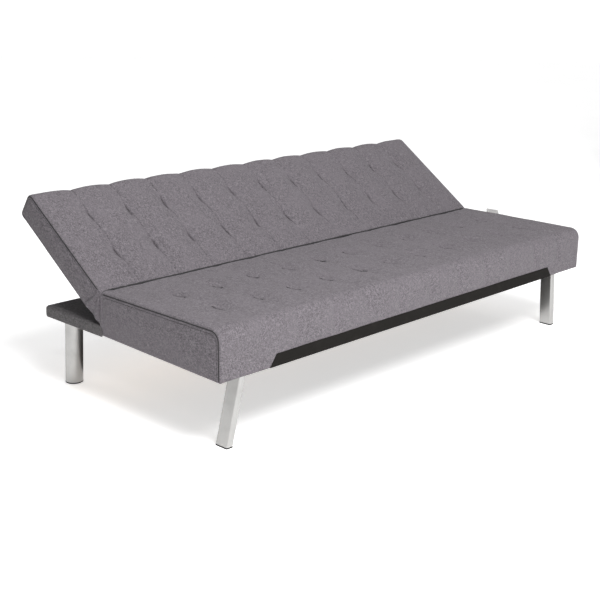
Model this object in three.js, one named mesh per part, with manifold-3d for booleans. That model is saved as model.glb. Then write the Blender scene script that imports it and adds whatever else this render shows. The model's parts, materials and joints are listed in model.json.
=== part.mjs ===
// Armless click-clack futon sofa bed, in millimetres, +Z up, front facing -Y.
// It is laid out with y = 0 at the front of the seat, then centred over its own footprint at the end.
// Left is the -X end. The back is drawn lying flat about the crease, then leant to its lounging angle.
import * as THREE from 'three';
import { mergeVertices } from 'three/addons/utils/BufferGeometryUtils.js';
import Module from 'manifold-3d';

// Driving dimensions of the whole sofa.
const WIDTH = 1780;
const SEAT_DEPTH = 517;
const SEAT_TOP = 364;
const BACK_LENGTH = 424;
const BACK_THICK = 94;
const BACK_LEAN = 35;
const PIVOT_DROP = 26;
const LEDGE_REAR = 808;
const LEDGE_TOP = 260.4;

// Clearances and skins.
const GAP = 0.3;
const COVER = 5;
const CUT = 30;
const SOFT_EDGE = 6;

// Base frame: timber rails under the seat that run on as the rear ledge.
const RAIL_BOTTOM = 228;
const RAIL_TOP = 254;
const RAIL_WIDTH = 42;
const RAIL_OUTER = 868;
const FRONT_RAIL_WIDTH = 40;
const FRONT_RAIL_Y = 8;
const REAR_RAIL_WIDTH = 60;
const CROSS_RAIL_Y = 470;
const SLAT_COUNT = 5;
const SLAT_WIDTH = 68;
const SLAT_THICK = 12;
const SLAT_FIRST_Y = 22;
const SLAT_LAST_Y = 497;
const SLAT_END_INSET = 1;
const PANEL_THICK = 3;
const PANEL_FRONT = 534;
const DUST_THICK = 1.3;
const DUST_INSET = 5;
const LEDGE_CORNERS = { bottom: 6, top: 10, end: 3 };

// Seat cushion.
const SEAT_FRONT_BOTTOM = 217;
const SEAT_REAR_BOTTOM = 230;
const SEAT_REAR = 513;
const NOSE_RADIUS = 32;
const CREASE_RADIUS = 22;
const REAR_SKIRT_BOTTOM = 262;

// Back cushion, with y along the back from the crease and z up from its face.
const BACK_START = 4;
const BACK_HEEL = 26;
const BACK_CROWN_RADIUS = 18;
const BACK_HEEL_RADIUS = 10;
const BACK_REAR_RADIUS = 14;
const BACK_MOUTH = { half: 850, deep: 40, floor: 12, roof: 6 };
const BACK_RAIL_OUTER = 864.4;
const BACK_RAIL_WIDTH = 40;
const BACK_RAIL_THICK = 30;
const BACK_RAIL_START = 42;
const BACK_RAIL_INSET = 8;
const BACK_SLAT_COUNT = 3;
const BACK_SLAT_WIDTH = 60;
const BACK_SLAT_INSET = 6;

// Front strip, care label, end gussets.
const STRIP_BOTTOM_HALF = 704;
const STRIP_TOP_HALF = 679;
const STRIP_BOTTOM = 218;
const STRIP_TOP = 255;
const STRIP_THICK = 3;
const LABEL_LENGTH = 54;
const LABEL_HEIGHT = 15;
const LABEL_Y = 383;
const LABEL_X = 879;
const SHEET_THICK = 1.2;
const GUSSET_X = 886;
const GUSSET_CORNERS = { clear: 2, step: 3, toe: 14, heelY: 588, heelZ: 299, top: 342 };

// Front legs: splayed rectangular tube, leaning a little forward towards the top.
const FOOT_THICK = 3.7;
const FRONT_LEG_FLOOR = { x: 813, y: 67.5 };
const FRONT_LEG_TOP = { x: 772, y: 53.5 };
const FRONT_FOOT_SPREAD = 1;
const FRONT_LEG_SECTION = { x: 24, y: 48, corner: 4, wall: 1.8 };
const FRONT_PLATE = { x: 84, y: 72, z: 4, corner: 6 };
const LEG_BLOCK = { inner: 700, depth: 70 };

// Rear legs: round tube with the same lean.
const REAR_LEG_FLOOR = { x: 812, y: 777 };
const REAR_LEG_TOP = { x: 812, y: 762.5 };
const REAR_LEG_RADIUS = 28;
const REAR_LEG_WALL = 1.6;
const REAR_LEG_CAP = 3;
const REAR_LEG_CHAMFER = 1;
const STUD_RADIUS = 4;
const STUD_HOLE = 4.4;
const STUD_BOTTOM = 208;
const STUD_TOP = 248;

// Click-clack hinges.
const PLATE_THICK = 3;
const SEAT_PLATE_X = 868.3;
const BACK_ARM_X = 864.7;
const HEAD_RADIUS = 14;
const TOOTH_DEPTH = 2.2;
const TOOTH_COUNT = 14;
const PIVOT_RADIUS = 5;
const PIVOT_HOLE = 5.3;
const PIVOT_HEAD = { radius: 8, thick: 1.6 };
const PAWL_PIN_Y = 492;
const PAWL_PIN_Z = 306;
const PAWL_PIN_RADIUS = 3;
const PAWL_PIN_HOLE = 3.3;
const PAWL_PIN_HEAD = { radius: 5, thick: 1.2 };
const PAWL_BOSS = 7;
const PAWL_REACH = 25.5;
const PAWL_NOSE = 3;
const PAWL_TILT = 36;
const POCKET_RADIUS = 21;
const POCKET_INNER = 861;
const POCKET_OUTER = 876;
const SEAT_SLOT_FRONT = 450;
const SLOT_CLEARANCE = 5;
const BACK_SLOT_END = 78;
const BACK_SLOT_TOP = 8;
const SEAT_PLATE = { front: 398, rear: 520, lift: 3, heel: 2, shoulder: 3, arc: 0.8 * Math.PI };
const BACK_ARM = { top: 20, bottom: -60, rise: 10, height: 21, heel: 82, elbow: 98, end: 196 };
const TOOTH_SHARE = 0.8;
const SPRING_LEAF = [
  [503, 262, 0], [504, 262, 0], [506.5, 288, 8], [505, 304.6, 0], [504, 304.4, 0], [505.4, 288, 8],
];

// Worked out from the driving dimensions.
const HALF = WIDTH / 2;
const CAVITY_HALF = HALF - COVER;
const PIVOT = { y: SEAT_DEPTH, z: SEAT_TOP - PIVOT_DROP };
const LEAN = THREE.MathUtils.degToRad(BACK_LEAN);
const PIVOT_ON_BACK = { y: -PIVOT_DROP * Math.sin(LEAN), z: -PIVOT_DROP * Math.cos(LEAN) };
const SIDES = [['left', -1], ['right', 1]];
const ROUND_STEPS = 5;
const CIRCLE_STEPS = 28;
const SWEEP_X = new THREE.Matrix4().makeBasis(
  new THREE.Vector3(0, 1, 0),
  new THREE.Vector3(0, 0, 1),
  new THREE.Vector3(1, 0, 0),
);

const wasm = await Module();
wasm.setup();

const FABRIC = { color: 0x86808a, roughness: 0.95, metalness: 0 };
const DARK_FABRIC = { color: 0x504e50, roughness: 0.95, metalness: 0 };
const FOAM = { color: 0xe9e2c8, roughness: 0.9, metalness: 0 };
const TIMBER = { color: 0xc39a66, roughness: 0.7, metalness: 0 };
const CHROME = { color: 0xc9c9c6, roughness: 0.15, metalness: 1 };
const STEEL = { color: 0x8f9296, roughness: 0.4, metalness: 1 };
const BLACK = { color: 0x2b2927, roughness: 0.6, metalness: 0 };
const BLACK_CLOTH = { color: 0x1d1d1e, roughness: 0.95, metalness: 0 };
const WHITE_TAPE = { color: 0xeeeeec, roughness: 0.8, metalness: 0 };

const sofa = new THREE.Group();
const back = new THREE.Group();
back.position.set(0, SEAT_DEPTH, SEAT_TOP);
back.rotation.x = LEAN;
sofa.add(back);

// ---- Shape helpers ----

// A closed outline through corners [u, v, radius], each rounded by its radius.
function outline(corners) {
  const shape = new THREE.Shape();
  corners.forEach(([u, v, radius = 0], index) => {
    const corner = new THREE.Vector2(u, v);
    const before = new THREE.Vector2(...corners.at(index - 1).slice(0, 2)).sub(corner);
    const after = new THREE.Vector2(...corners[(index + 1) % corners.length].slice(0, 2)).sub(corner);
    const start = before.setLength(radius).add(corner);
    const end = after.setLength(radius).add(corner);
    if (index === 0) shape.moveTo(start.x, start.y);
    else shape.lineTo(start.x, start.y);
    if (radius > 0) shape.quadraticCurveTo(corner.x, corner.y, end.x, end.y);
  });
  shape.closePath();
  return shape;
}

function circle(u, v, radius) {
  return new THREE.Shape().absarc(u, v, radius, 0, 2 * Math.PI);
}

function hole(shape, u, v, radius) {
  shape.holes.push(new THREE.Path().absarc(u, v, radius, 0, 2 * Math.PI));
  return shape;
}

// A side-view outline (y, z) swept across the sofa from one x to another.
function swept(shape, from, to, edge = 0) {
  const geometry = new THREE.ExtrudeGeometry(shape, {
    depth: to - from - 2 * edge,
    bevelEnabled: edge > 0,
    bevelSize: edge,
    bevelThickness: edge,
    bevelOffset: -edge,
    bevelSegments: 3,
    curveSegments: ROUND_STEPS,
  });
  return geometry.translate(0, 0, from + edge).applyMatrix4(SWEEP_X);
}

// The same, on one side of the sofa, between two distances out from its middle.
function sweptOnSide(shape, side, inner, outer) {
  return side > 0 ? swept(shape, inner, outer) : swept(shape, -outer, -inner);
}

// A plan-view outline (x, y) raised between two heights.
function raised(shape, bottom, top) {
  const depth = top - bottom;
  const settings = { depth, bevelEnabled: false, curveSegments: ROUND_STEPS };
  return new THREE.ExtrudeGeometry(shape, settings).translate(0, 0, bottom);
}

function block(x, y, z) {
  const geometry = new THREE.BoxGeometry(x[1] - x[0], y[1] - y[0], z[1] - z[0]);
  return geometry.translate((x[0] + x[1]) / 2, (y[0] + y[1]) / 2, (z[0] + z[1]) / 2);
}

function blockOnSide(side, x, y, z) {
  return block(side > 0 ? x : [-x[1], -x[0]], y, z);
}

// A turned piece about an upright axis, from a closed profile of [radius, height] points.
function turned(points) {
  const profile = points.map(([radius, height]) => new THREE.Vector2(radius, height));
  return new THREE.LatheGeometry(profile, CIRCLE_STEPS).rotateX(Math.PI / 2);
}

// A round bar along x with a flat head at each end.
function rivet(side, y, z, shank, head, from, to) {
  const inner = from - head.thick;
  const outer = to + head.thick;
  const geometry = turned([
    [0, inner], [head.radius, inner], [head.radius, from], [shank, from],
    [shank, to], [head.radius, to], [head.radius, outer], [0, outer],
  ]);
  return geometry.rotateY(side * Math.PI / 2).translate(0, y, z);
}

function solid(geometry) {
  const bare = geometry.index ? geometry.toNonIndexed() : geometry.clone();
  bare.deleteAttribute('normal');
  bare.deleteAttribute('uv');
  const merged = mergeVertices(bare, 1e-3);
  return new wasm.Manifold(new wasm.Mesh({
    numProp: 3,
    vertProperties: merged.attributes.position.array,
    triVerts: new Uint32Array(merged.index.array),
  }));
}

function geometryOf(body) {
  const mesh = body.getMesh();
  const geometry = new THREE.BufferGeometry();
  geometry.setAttribute('position', new THREE.BufferAttribute(mesh.vertProperties, 3));
  geometry.setIndex(new THREE.BufferAttribute(mesh.triVerts, 1));
  const faceted = geometry.toNonIndexed();
  faceted.computeVertexNormals();
  return faceted;
}

function minus(geometry, tools) {
  return geometryOf(tools.reduce((left, tool) => left.subtract(solid(tool)), solid(geometry)));
}

function plus(first, second) {
  return geometryOf(solid(first).add(solid(second)));
}

function part(name, geometry, finish, parent = sofa) {
  const mesh = new THREE.Mesh(geometry, new THREE.MeshStandardMaterial(finish));
  mesh.name = name;
  parent.add(mesh);
}

// ---- Base frame ----

const railZ = [RAIL_BOTTOM, RAIL_TOP];
const frontRailY = [FRONT_RAIL_Y, FRONT_RAIL_Y + FRONT_RAIL_WIDTH];
const rearRailY = [LEDGE_REAR - COVER - REAR_RAIL_WIDTH, LEDGE_REAR - COVER - GAP];

function buildRails() {
  const inside = RAIL_OUTER - RAIL_WIDTH - GAP;
  const crossY = [CROSS_RAIL_Y, CROSS_RAIL_Y + RAIL_WIDTH];
  const studHoles = SIDES.map(([, side]) =>
    raised(circle(side * REAR_LEG_TOP.x, REAR_LEG_TOP.y, STUD_HOLE), RAIL_BOTTOM - CUT, STUD_TOP + GAP));
  part('base_front_rail', block([-inside, inside], frontRailY, railZ), TIMBER);
  part('base_cross_rail', block([-inside, inside], crossY, railZ), TIMBER);
  part('base_rear_rail', minus(block([-inside, inside], rearRailY, railZ), studHoles), TIMBER);
  SIDES.forEach(([name, side]) => {
    const x = [RAIL_OUTER - RAIL_WIDTH, RAIL_OUTER];
    part(`base_${name}_rail`, blockOnSide(side, x, [frontRailY[0], rearRailY[1]], railZ), TIMBER);
  });
  const centreX = [-RAIL_WIDTH / 2, RAIL_WIDTH / 2];
  const centreY = [frontRailY[1] + GAP, crossY[0] - GAP];
  part('base_centre_rail', block(centreX, centreY, railZ), TIMBER);
}

function buildSlats() {
  const pitch = (SLAT_LAST_Y - SLAT_FIRST_Y - SLAT_WIDTH) / (SLAT_COUNT - 1);
  const z = [RAIL_TOP + GAP, RAIL_TOP + GAP + SLAT_THICK];
  for (let index = 0; index < SLAT_COUNT; index += 1) {
    const front = SLAT_FIRST_Y + index * pitch;
    const x = [-RAIL_OUTER + SLAT_END_INSET, RAIL_OUTER - SLAT_END_INSET];
    part(`seat_slat_${index + 1}`, block(x, [front, front + SLAT_WIDTH], z), TIMBER);
  }
}

function buildLedge() {
  const panelTop = RAIL_TOP + GAP + PANEL_THICK;
  const cavityTop = panelTop + GAP;
  const inner = CAVITY_HALF - GAP;
  const panelY = [PANEL_FRONT, LEDGE_REAR - COVER - GAP];
  part('ledge_panel', block([-inner, inner], panelY, [RAIL_TOP + GAP, panelTop]), TIMBER);
  const front = SEAT_REAR + GAP;
  const bottom = RAIL_BOTTOM;
  const corners = LEDGE_CORNERS;
  const outer = swept(outline([
    [front, bottom],
    [LEDGE_REAR, bottom, corners.bottom],
    [LEDGE_REAR, LEDGE_TOP, corners.top],
    [front, LEDGE_TOP],
  ]), -HALF, HALF, corners.end);
  const hollow = block(
    [-CAVITY_HALF, CAVITY_HALF],
    [front - CUT, LEDGE_REAR - COVER],
    [bottom - CUT, cavityTop],
  );
  const hingeWay = block(
    [-CAVITY_HALF, CAVITY_HALF],
    [front - CUT, PANEL_FRONT - GAP],
    [bottom, LEDGE_TOP + CUT],
  );
  part('ledge_cover', minus(outer, [hollow, hingeWay]), DARK_FABRIC);
}

// The cloth under the seat, cut round the mounting plates of the front legs.
function buildUnderside() {
  const top = RAIL_BOTTOM - GAP;
  const front = frontRailY[0] + DUST_INSET;
  const rear = CROSS_RAIL_Y + RAIL_WIDTH - DUST_INSET;
  const notchX = FRONT_LEG_TOP.x - FRONT_PLATE.x / 2 - DUST_INSET;
  const notchY = FRONT_LEG_TOP.y + FRONT_PLATE.y / 2 + DUST_INSET;
  const half = RAIL_OUTER - DUST_INSET;
  const cloth = outline([
    [-notchX, front], [notchX, front], [notchX, notchY], [half, notchY],
    [half, rear], [-half, rear], [-half, notchY], [-notchX, notchY],
  ]);
  part('dust_cover', raised(cloth, top - DUST_THICK, top), BLACK_CLOTH);
}

// ---- Seat cushion ----

// Round pockets and slots, on both sides, that the hinge heads and plates turn in.
function hingePockets(pivotY, pivotZ, slotY, slotZ) {
  return SIDES.flatMap(([, side]) => [
    sweptOnSide(circle(pivotY, pivotZ, POCKET_RADIUS), side, POCKET_INNER, POCKET_OUTER),
    blockOnSide(side, [POCKET_INNER, POCKET_OUTER], slotY, slotZ),
  ]);
}

function stripOutline(spread) {
  return outline([
    [-STRIP_BOTTOM_HALF - spread, STRIP_BOTTOM - spread],
    [STRIP_BOTTOM_HALF + spread, STRIP_BOTTOM - spread],
    [STRIP_TOP_HALF + spread, STRIP_TOP + spread],
    [-STRIP_TOP_HALF - spread, STRIP_TOP + spread],
  ]);
}

// A front-view outline (x, z) given a thickness along y.
function frontPlate(shape, from, to) {
  return raised(shape, -to, -from).rotateX(Math.PI / 2);
}

function buildSeatCushion() {
  const slotY = [SEAT_SLOT_FRONT, SEAT_REAR + SLOT_CLEARANCE];
  const pockets = hingePockets(PIVOT.y, PIVOT.z, slotY, [RAIL_BOTTOM - CUT, PIVOT.z + SLOT_CLEARANCE]);
  const outer = swept(outline([
    [0, SEAT_FRONT_BOTTOM],
    [SEAT_REAR, SEAT_REAR_BOTTOM],
    [SEAT_REAR, SEAT_TOP, CREASE_RADIUS],
    [0, SEAT_TOP, NOSE_RADIUS],
  ]), -HALF, HALF, SOFT_EDGE);
  const hollow = swept(outline([
    [COVER, SEAT_FRONT_BOTTOM - CUT],
    [SEAT_REAR - COVER, SEAT_FRONT_BOTTOM - CUT],
    [SEAT_REAR - COVER, SEAT_TOP - COVER, CREASE_RADIUS - COVER],
    [COVER, SEAT_TOP - COVER, NOSE_RADIUS - COVER],
  ]), -CAVITY_HALF, CAVITY_HALF);
  const underLedge = block(
    [-CAVITY_HALF, CAVITY_HALF],
    [SEAT_REAR - CUT, SEAT_REAR + CUT],
    [SEAT_FRONT_BOTTOM - CUT, REAR_SKIRT_BOTTOM],
  );
  const stripRecess = frontPlate(stripOutline(GAP), -CUT, STRIP_THICK + GAP);
  part('seat_cover', minus(outer, [hollow, underLedge, stripRecess, ...pockets]), FABRIC);
  part('front_strip', frontPlate(stripOutline(0), 0, STRIP_THICK), BLACK);
  const skin = COVER + GAP;
  const foamBottom = RAIL_TOP + SLAT_THICK + 2 * GAP;
  const foam = swept(outline([
    [skin, foamBottom],
    [SEAT_REAR - skin, foamBottom],
    [SEAT_REAR - skin, SEAT_TOP - skin, CREASE_RADIUS - COVER],
    [skin, SEAT_TOP - skin, NOSE_RADIUS - COVER],
  ]), -CAVITY_HALF + GAP, CAVITY_HALF - GAP);
  part('seat_foam', minus(foam, pockets), FOAM);
}

function buildLabel() {
  const x = [LABEL_X, LABEL_X + SHEET_THICK];
  const y = [LABEL_Y - LABEL_LENGTH / 2, LABEL_Y + LABEL_LENGTH / 2];
  part('care_label', block(x, y, [SEAT_TOP + GAP, SEAT_TOP + GAP + LABEL_HEIGHT]), WHITE_TAPE);
}

// ---- Legs ----

function roundedRectangle(x, y, sizeX, sizeY, corner) {
  return outline([
    [x - sizeX / 2, y - sizeY / 2, corner],
    [x + sizeX / 2, y - sizeY / 2, corner],
    [x + sizeX / 2, y + sizeY / 2, corner],
    [x - sizeX / 2, y + sizeY / 2, corner],
  ]);
}

// Leans an upright leg, drawn over the origin, from its spot on the floor to its spot under the frame.
function leaning(geometry, side, from, to, bottom, top) {
  const slope = { x: (to.x - from.x) / (top - bottom), y: (to.y - from.y) / (top - bottom) };
  const lean = new THREE.Matrix4().makeShear(0, 0, 0, 0, side * slope.x, slope.y);
  return geometry.applyMatrix4(lean)
    .translate(side * (from.x - slope.x * bottom), from.y - slope.y * bottom, 0);
}

function buildFrontLeg(name, side) {
  const section = FRONT_LEG_SECTION;
  const plateBottom = RAIL_BOTTOM - GAP - FRONT_PLATE.z;
  const top = plateBottom - GAP;
  const bottom = FOOT_THICK + GAP;
  const bore = { x: section.x - 2 * section.wall, y: section.y - 2 * section.wall };
  const tube = roundedRectangle(0, 0, section.x, section.y, section.corner);
  tube.holes.push(roundedRectangle(0, 0, bore.x, bore.y, section.corner - section.wall / 2));
  const leg = leaning(raised(tube, bottom, top), side, FRONT_LEG_FLOOR, FRONT_LEG_TOP, bottom, top);
  part(`front_leg_${name}`, leg, CHROME);
  const foot = { x: section.x + FRONT_FOOT_SPREAD, y: section.y + FRONT_FOOT_SPREAD };
  const pad = roundedRectangle(side * FRONT_LEG_FLOOR.x, FRONT_LEG_FLOOR.y, foot.x, foot.y, section.corner);
  part(`front_foot_${name}`, raised(pad, 0, FOOT_THICK), BLACK);
  const size = FRONT_PLATE;
  const plate = roundedRectangle(side * FRONT_LEG_TOP.x, FRONT_LEG_TOP.y, size.x, size.y, size.corner);
  part(`front_leg_plate_${name}`, raised(plate, plateBottom, plateBottom + size.z), STEEL);
  const blockX = [LEG_BLOCK.inner, RAIL_OUTER - RAIL_WIDTH - GAP];
  const blockY = [frontRailY[1] + GAP, frontRailY[1] + GAP + LEG_BLOCK.depth];
  part(`leg_block_${name}`, blockOnSide(side, blockX, blockY, railZ), TIMBER);
}

function buildRearLeg(name, side) {
  const top = RAIL_BOTTOM - GAP;
  const bottom = FOOT_THICK + GAP;
  const inner = REAR_LEG_RADIUS - REAR_LEG_WALL;
  const neck = REAR_LEG_RADIUS - REAR_LEG_CHAMFER;
  const tube = turned([
    [STUD_HOLE, top], [STUD_HOLE, top - REAR_LEG_CAP], [inner, top - REAR_LEG_CAP], [inner, bottom],
    [REAR_LEG_RADIUS, bottom], [REAR_LEG_RADIUS, top - REAR_LEG_CHAMFER], [neck, top], [STUD_HOLE, top],
  ]);
  part(`rear_leg_${name}`, leaning(tube, side, REAR_LEG_FLOOR, REAR_LEG_TOP, bottom, top), CHROME);
  const foot = turned([[0, 0], [REAR_LEG_RADIUS, 0], [REAR_LEG_RADIUS, FOOT_THICK], [0, FOOT_THICK]]);
  part(`rear_foot_${name}`, foot.translate(side * REAR_LEG_FLOOR.x, REAR_LEG_FLOOR.y, 0), BLACK);
  const stud = turned([[0, STUD_BOTTOM], [STUD_RADIUS, STUD_BOTTOM], [STUD_RADIUS, STUD_TOP], [0, STUD_TOP]]);
  part(`rear_leg_stud_${name}`, stud.translate(side * REAR_LEG_TOP.x, REAR_LEG_TOP.y, 0), STEEL);
}

// ---- Back cushion ----

function backOutline(inset) {
  const round = (radius) => Math.max(radius - inset, 1);
  return outline([
    [BACK_START + inset, -inset, round(CREASE_RADIUS)],
    [BACK_START + BACK_HEEL + inset, -BACK_THICK + inset, round(BACK_HEEL_RADIUS)],
    [BACK_LENGTH - inset, -BACK_THICK + inset, round(BACK_REAR_RADIUS)],
    [BACK_LENGTH - inset, -inset, round(BACK_CROWN_RADIUS)],
  ]);
}

function backPockets() {
  const slotZ = [-BACK_THICK + COVER, -BACK_SLOT_TOP];
  return hingePockets(PIVOT_ON_BACK.y, PIVOT_ON_BACK.z, [-CUT, BACK_SLOT_END], slotZ);
}

function buildBackFrame() {
  const z = [-BACK_THICK + COVER + GAP, -BACK_THICK + COVER + GAP + BACK_RAIL_THICK];
  const topEnd = BACK_LENGTH - COVER - BACK_RAIL_INSET;
  const bottomY = [BACK_RAIL_START, BACK_RAIL_START + BACK_RAIL_WIDTH];
  const topY = [topEnd - BACK_RAIL_WIDTH, topEnd];
  const x = [-BACK_RAIL_OUTER, BACK_RAIL_OUTER];
  const between = [bottomY[1] + GAP, topY[0] - GAP];
  part('back_bottom_rail', block(x, bottomY, z), TIMBER, back);
  part('back_top_rail', block(x, topY, z), TIMBER, back);
  SIDES.forEach(([name, side]) => {
    const sideX = [BACK_RAIL_OUTER - BACK_RAIL_WIDTH, BACK_RAIL_OUTER];
    part(`back_${name}_rail`, blockOnSide(side, sideX, between, z), TIMBER, back);
  });
  part('back_centre_rail', block([-BACK_RAIL_WIDTH / 2, BACK_RAIL_WIDTH / 2], between, z), TIMBER, back);
  const slatZ = [z[1] + GAP, z[1] + GAP + SLAT_THICK];
  const first = bottomY[0] + BACK_SLAT_INSET;
  const pitch = (topEnd - BACK_SLAT_INSET - BACK_SLAT_WIDTH - first) / (BACK_SLAT_COUNT - 1);
  for (let index = 0; index < BACK_SLAT_COUNT; index += 1) {
    const y = [first + index * pitch, first + index * pitch + BACK_SLAT_WIDTH];
    part(`back_slat_${index + 1}`, block(x, y, slatZ), TIMBER, back);
  }
  return slatZ[1] + GAP;
}

function buildBackCushion(foamBottom) {
  const pockets = backPockets();
  const outer = swept(backOutline(0), -HALF, HALF, SOFT_EDGE);
  const hollow = swept(backOutline(COVER), -CAVITY_HALF, CAVITY_HALF);
  const { half, deep, floor, roof } = BACK_MOUTH;
  const mouth = block([-half, half], [-CUT, deep], [-BACK_THICK + floor, -CREASE_RADIUS - roof]);
  part('back_cover', minus(outer, [hollow, mouth, ...pockets]), FABRIC, back);
  const body = swept(backOutline(COVER + GAP), -CAVITY_HALF + GAP, CAVITY_HALF - GAP);
  const behind = block([-HALF, HALF], [-CUT, BACK_LENGTH + CUT], [-BACK_THICK - CUT, foamBottom]);
  part('back_foam', minus(body, [behind, ...pockets]), FOAM, back);
}

// ---- Click-clack hinges ----

function seatPlateOutline() {
  const { front, rear, lift, heel, shoulder, arc } = SEAT_PLATE;
  const neck = PAWL_PIN_Y - PAWL_BOSS - shoulder;
  const shape = new THREE.Shape();
  shape.moveTo(front, RAIL_BOTTOM + lift);
  shape.lineTo(rear, RAIL_BOTTOM + lift);
  shape.lineTo(PIVOT.y + HEAD_RADIUS, PIVOT.z);
  shape.absarc(PIVOT.y, PIVOT.z, HEAD_RADIUS, 0, arc);
  shape.lineTo(neck, PAWL_PIN_Z + PAWL_BOSS);
  shape.lineTo(neck, RAIL_TOP + heel);
  shape.lineTo(front, RAIL_TOP - heel);
  shape.closePath();
  hole(shape, PIVOT.y, PIVOT.z, PIVOT_HOLE);
  return hole(shape, PAWL_PIN_Y, PAWL_PIN_Z, PAWL_PIN_HOLE);
}

// The toothed head turns about the pivot, and the arm runs back and down to the back's side rail.
function backArmOutline() {
  const { y, z } = PIVOT_ON_BACK;
  const shape = new THREE.Shape();
  const armTop = THREE.MathUtils.degToRad(BACK_ARM.top);
  const armBottom = THREE.MathUtils.degToRad(BACK_ARM.bottom);
  const sweepBack = armBottom - armTop + 2 * Math.PI;
  for (let tooth = 0; tooth < TOOTH_COUNT; tooth += 1) {
    const start = armTop + (tooth / TOOTH_COUNT) * sweepBack;
    const tip = start + TOOTH_SHARE * sweepBack / TOOTH_COUNT;
    const root = HEAD_RADIUS - TOOTH_DEPTH;
    if (tooth === 0) shape.moveTo(y + root * Math.cos(start), z + root * Math.sin(start));
    else shape.lineTo(y + root * Math.cos(start), z + root * Math.sin(start));
    shape.lineTo(y + HEAD_RADIUS * Math.cos(tip), z + HEAD_RADIUS * Math.sin(tip));
  }
  shape.lineTo(y + HEAD_RADIUS * Math.cos(armBottom), z + HEAD_RADIUS * Math.sin(armBottom));
  const low = -BACK_THICK + BACK_ARM.rise;
  const high = low + BACK_ARM.height;
  shape.lineTo(BACK_ARM.heel, low);
  shape.lineTo(BACK_ARM.end, low);
  shape.lineTo(BACK_ARM.end, high);
  shape.lineTo(BACK_ARM.elbow, high);
  shape.closePath();
  return hole(shape, y, z, PIVOT_HOLE);
}

// A boss around its pin and a nose just outside the circle of the teeth.
function pawlOutline() {
  const tilt = THREE.MathUtils.degToRad(PAWL_TILT);
  const along = (distance, offset) => [
    PAWL_PIN_Y + distance * Math.cos(tilt) - offset * Math.sin(tilt),
    PAWL_PIN_Z + distance * Math.sin(tilt) + offset * Math.cos(tilt),
  ];
  const shape = new THREE.Shape();
  const quarter = Math.PI / 2;
  shape.absarc(PAWL_PIN_Y, PAWL_PIN_Z, PAWL_BOSS, tilt + quarter, tilt + 3 * quarter);
  shape.lineTo(...along(PAWL_REACH, -PAWL_NOSE));
  shape.lineTo(...along(PAWL_REACH + 1, 0));
  shape.closePath();
  return hole(shape, PAWL_PIN_Y, PAWL_PIN_Z, PAWL_PIN_HOLE);
}

// A bent leaf, from beside the seat plate's foot up to just under the pawl.
function springOutline() {
  return outline(SPRING_LEAF);
}

function buildHinge(name, side) {
  const seatPlate = [SEAT_PLATE_X, SEAT_PLATE_X + PLATE_THICK];
  const armPlane = [BACK_ARM_X, BACK_ARM_X + PLATE_THICK];
  part(`hinge_seat_plate_${name}`, sweptOnSide(seatPlateOutline(), side, ...seatPlate), STEEL);
  part(`hinge_back_arm_${name}`, sweptOnSide(backArmOutline(), side, ...armPlane), STEEL, back);
  part(`hinge_pawl_${name}`, sweptOnSide(pawlOutline(), side, ...armPlane), STEEL);
  part(`pawl_spring_${name}`, sweptOnSide(springOutline(), side, ...armPlane), STEEL);
  const from = BACK_ARM_X - GAP;
  const to = SEAT_PLATE_X + PLATE_THICK + GAP;
  part(`hinge_pivot_${name}`,
    rivet(side, PIVOT.y, PIVOT.z, PIVOT_RADIUS, PIVOT_HEAD, from, to), STEEL);
  part(`pawl_pin_${name}`,
    rivet(side, PAWL_PIN_Y, PAWL_PIN_Z, PAWL_PIN_RADIUS, PAWL_PIN_HEAD, from, to), STEEL);
}

// ---- End gussets ----

// A cloth web at each end that closes the wedge between the seat and the leaning back.
function buildGusset(name, side) {
  const { clear, step, toe, heelY, heelZ, top } = GUSSET_CORNERS;
  const foot = LEDGE_TOP + step;
  const web = outline([
    [SEAT_REAR + clear, foot], [SEAT_REAR + toe, foot], [heelY, heelZ], [SEAT_REAR + clear, top],
  ]);
  part(`end_gusset_${name}`, sweptOnSide(web, side, GUSSET_X, GUSSET_X + SHEET_THICK), FABRIC);
}

buildRails();
buildSlats();
buildLedge();
buildUnderside();
buildSeatCushion();
buildLabel();
SIDES.forEach(([name, side]) => {
  buildFrontLeg(name, side);
  buildRearLeg(name, side);
  buildHinge(name, side);
  buildGusset(name, side);
});
buildBackCushion(buildBackFrame());

const footprint = new THREE.Box3().setFromObject(sofa, true);
sofa.position.y = -(footprint.min.y + footprint.max.y) / 2;

export default sofa;
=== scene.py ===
"""Armless click-clack futon sofa bed: upholstery, ledge, trim and legs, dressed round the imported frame."""
import json
import logging
import math
import random
from dataclasses import dataclass, field
from enum import Enum
from typing import Callable, Optional, Sequence, Union

import bmesh
import bpy
import numpy as np
from mathutils import Matrix, Vector, noise


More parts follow.
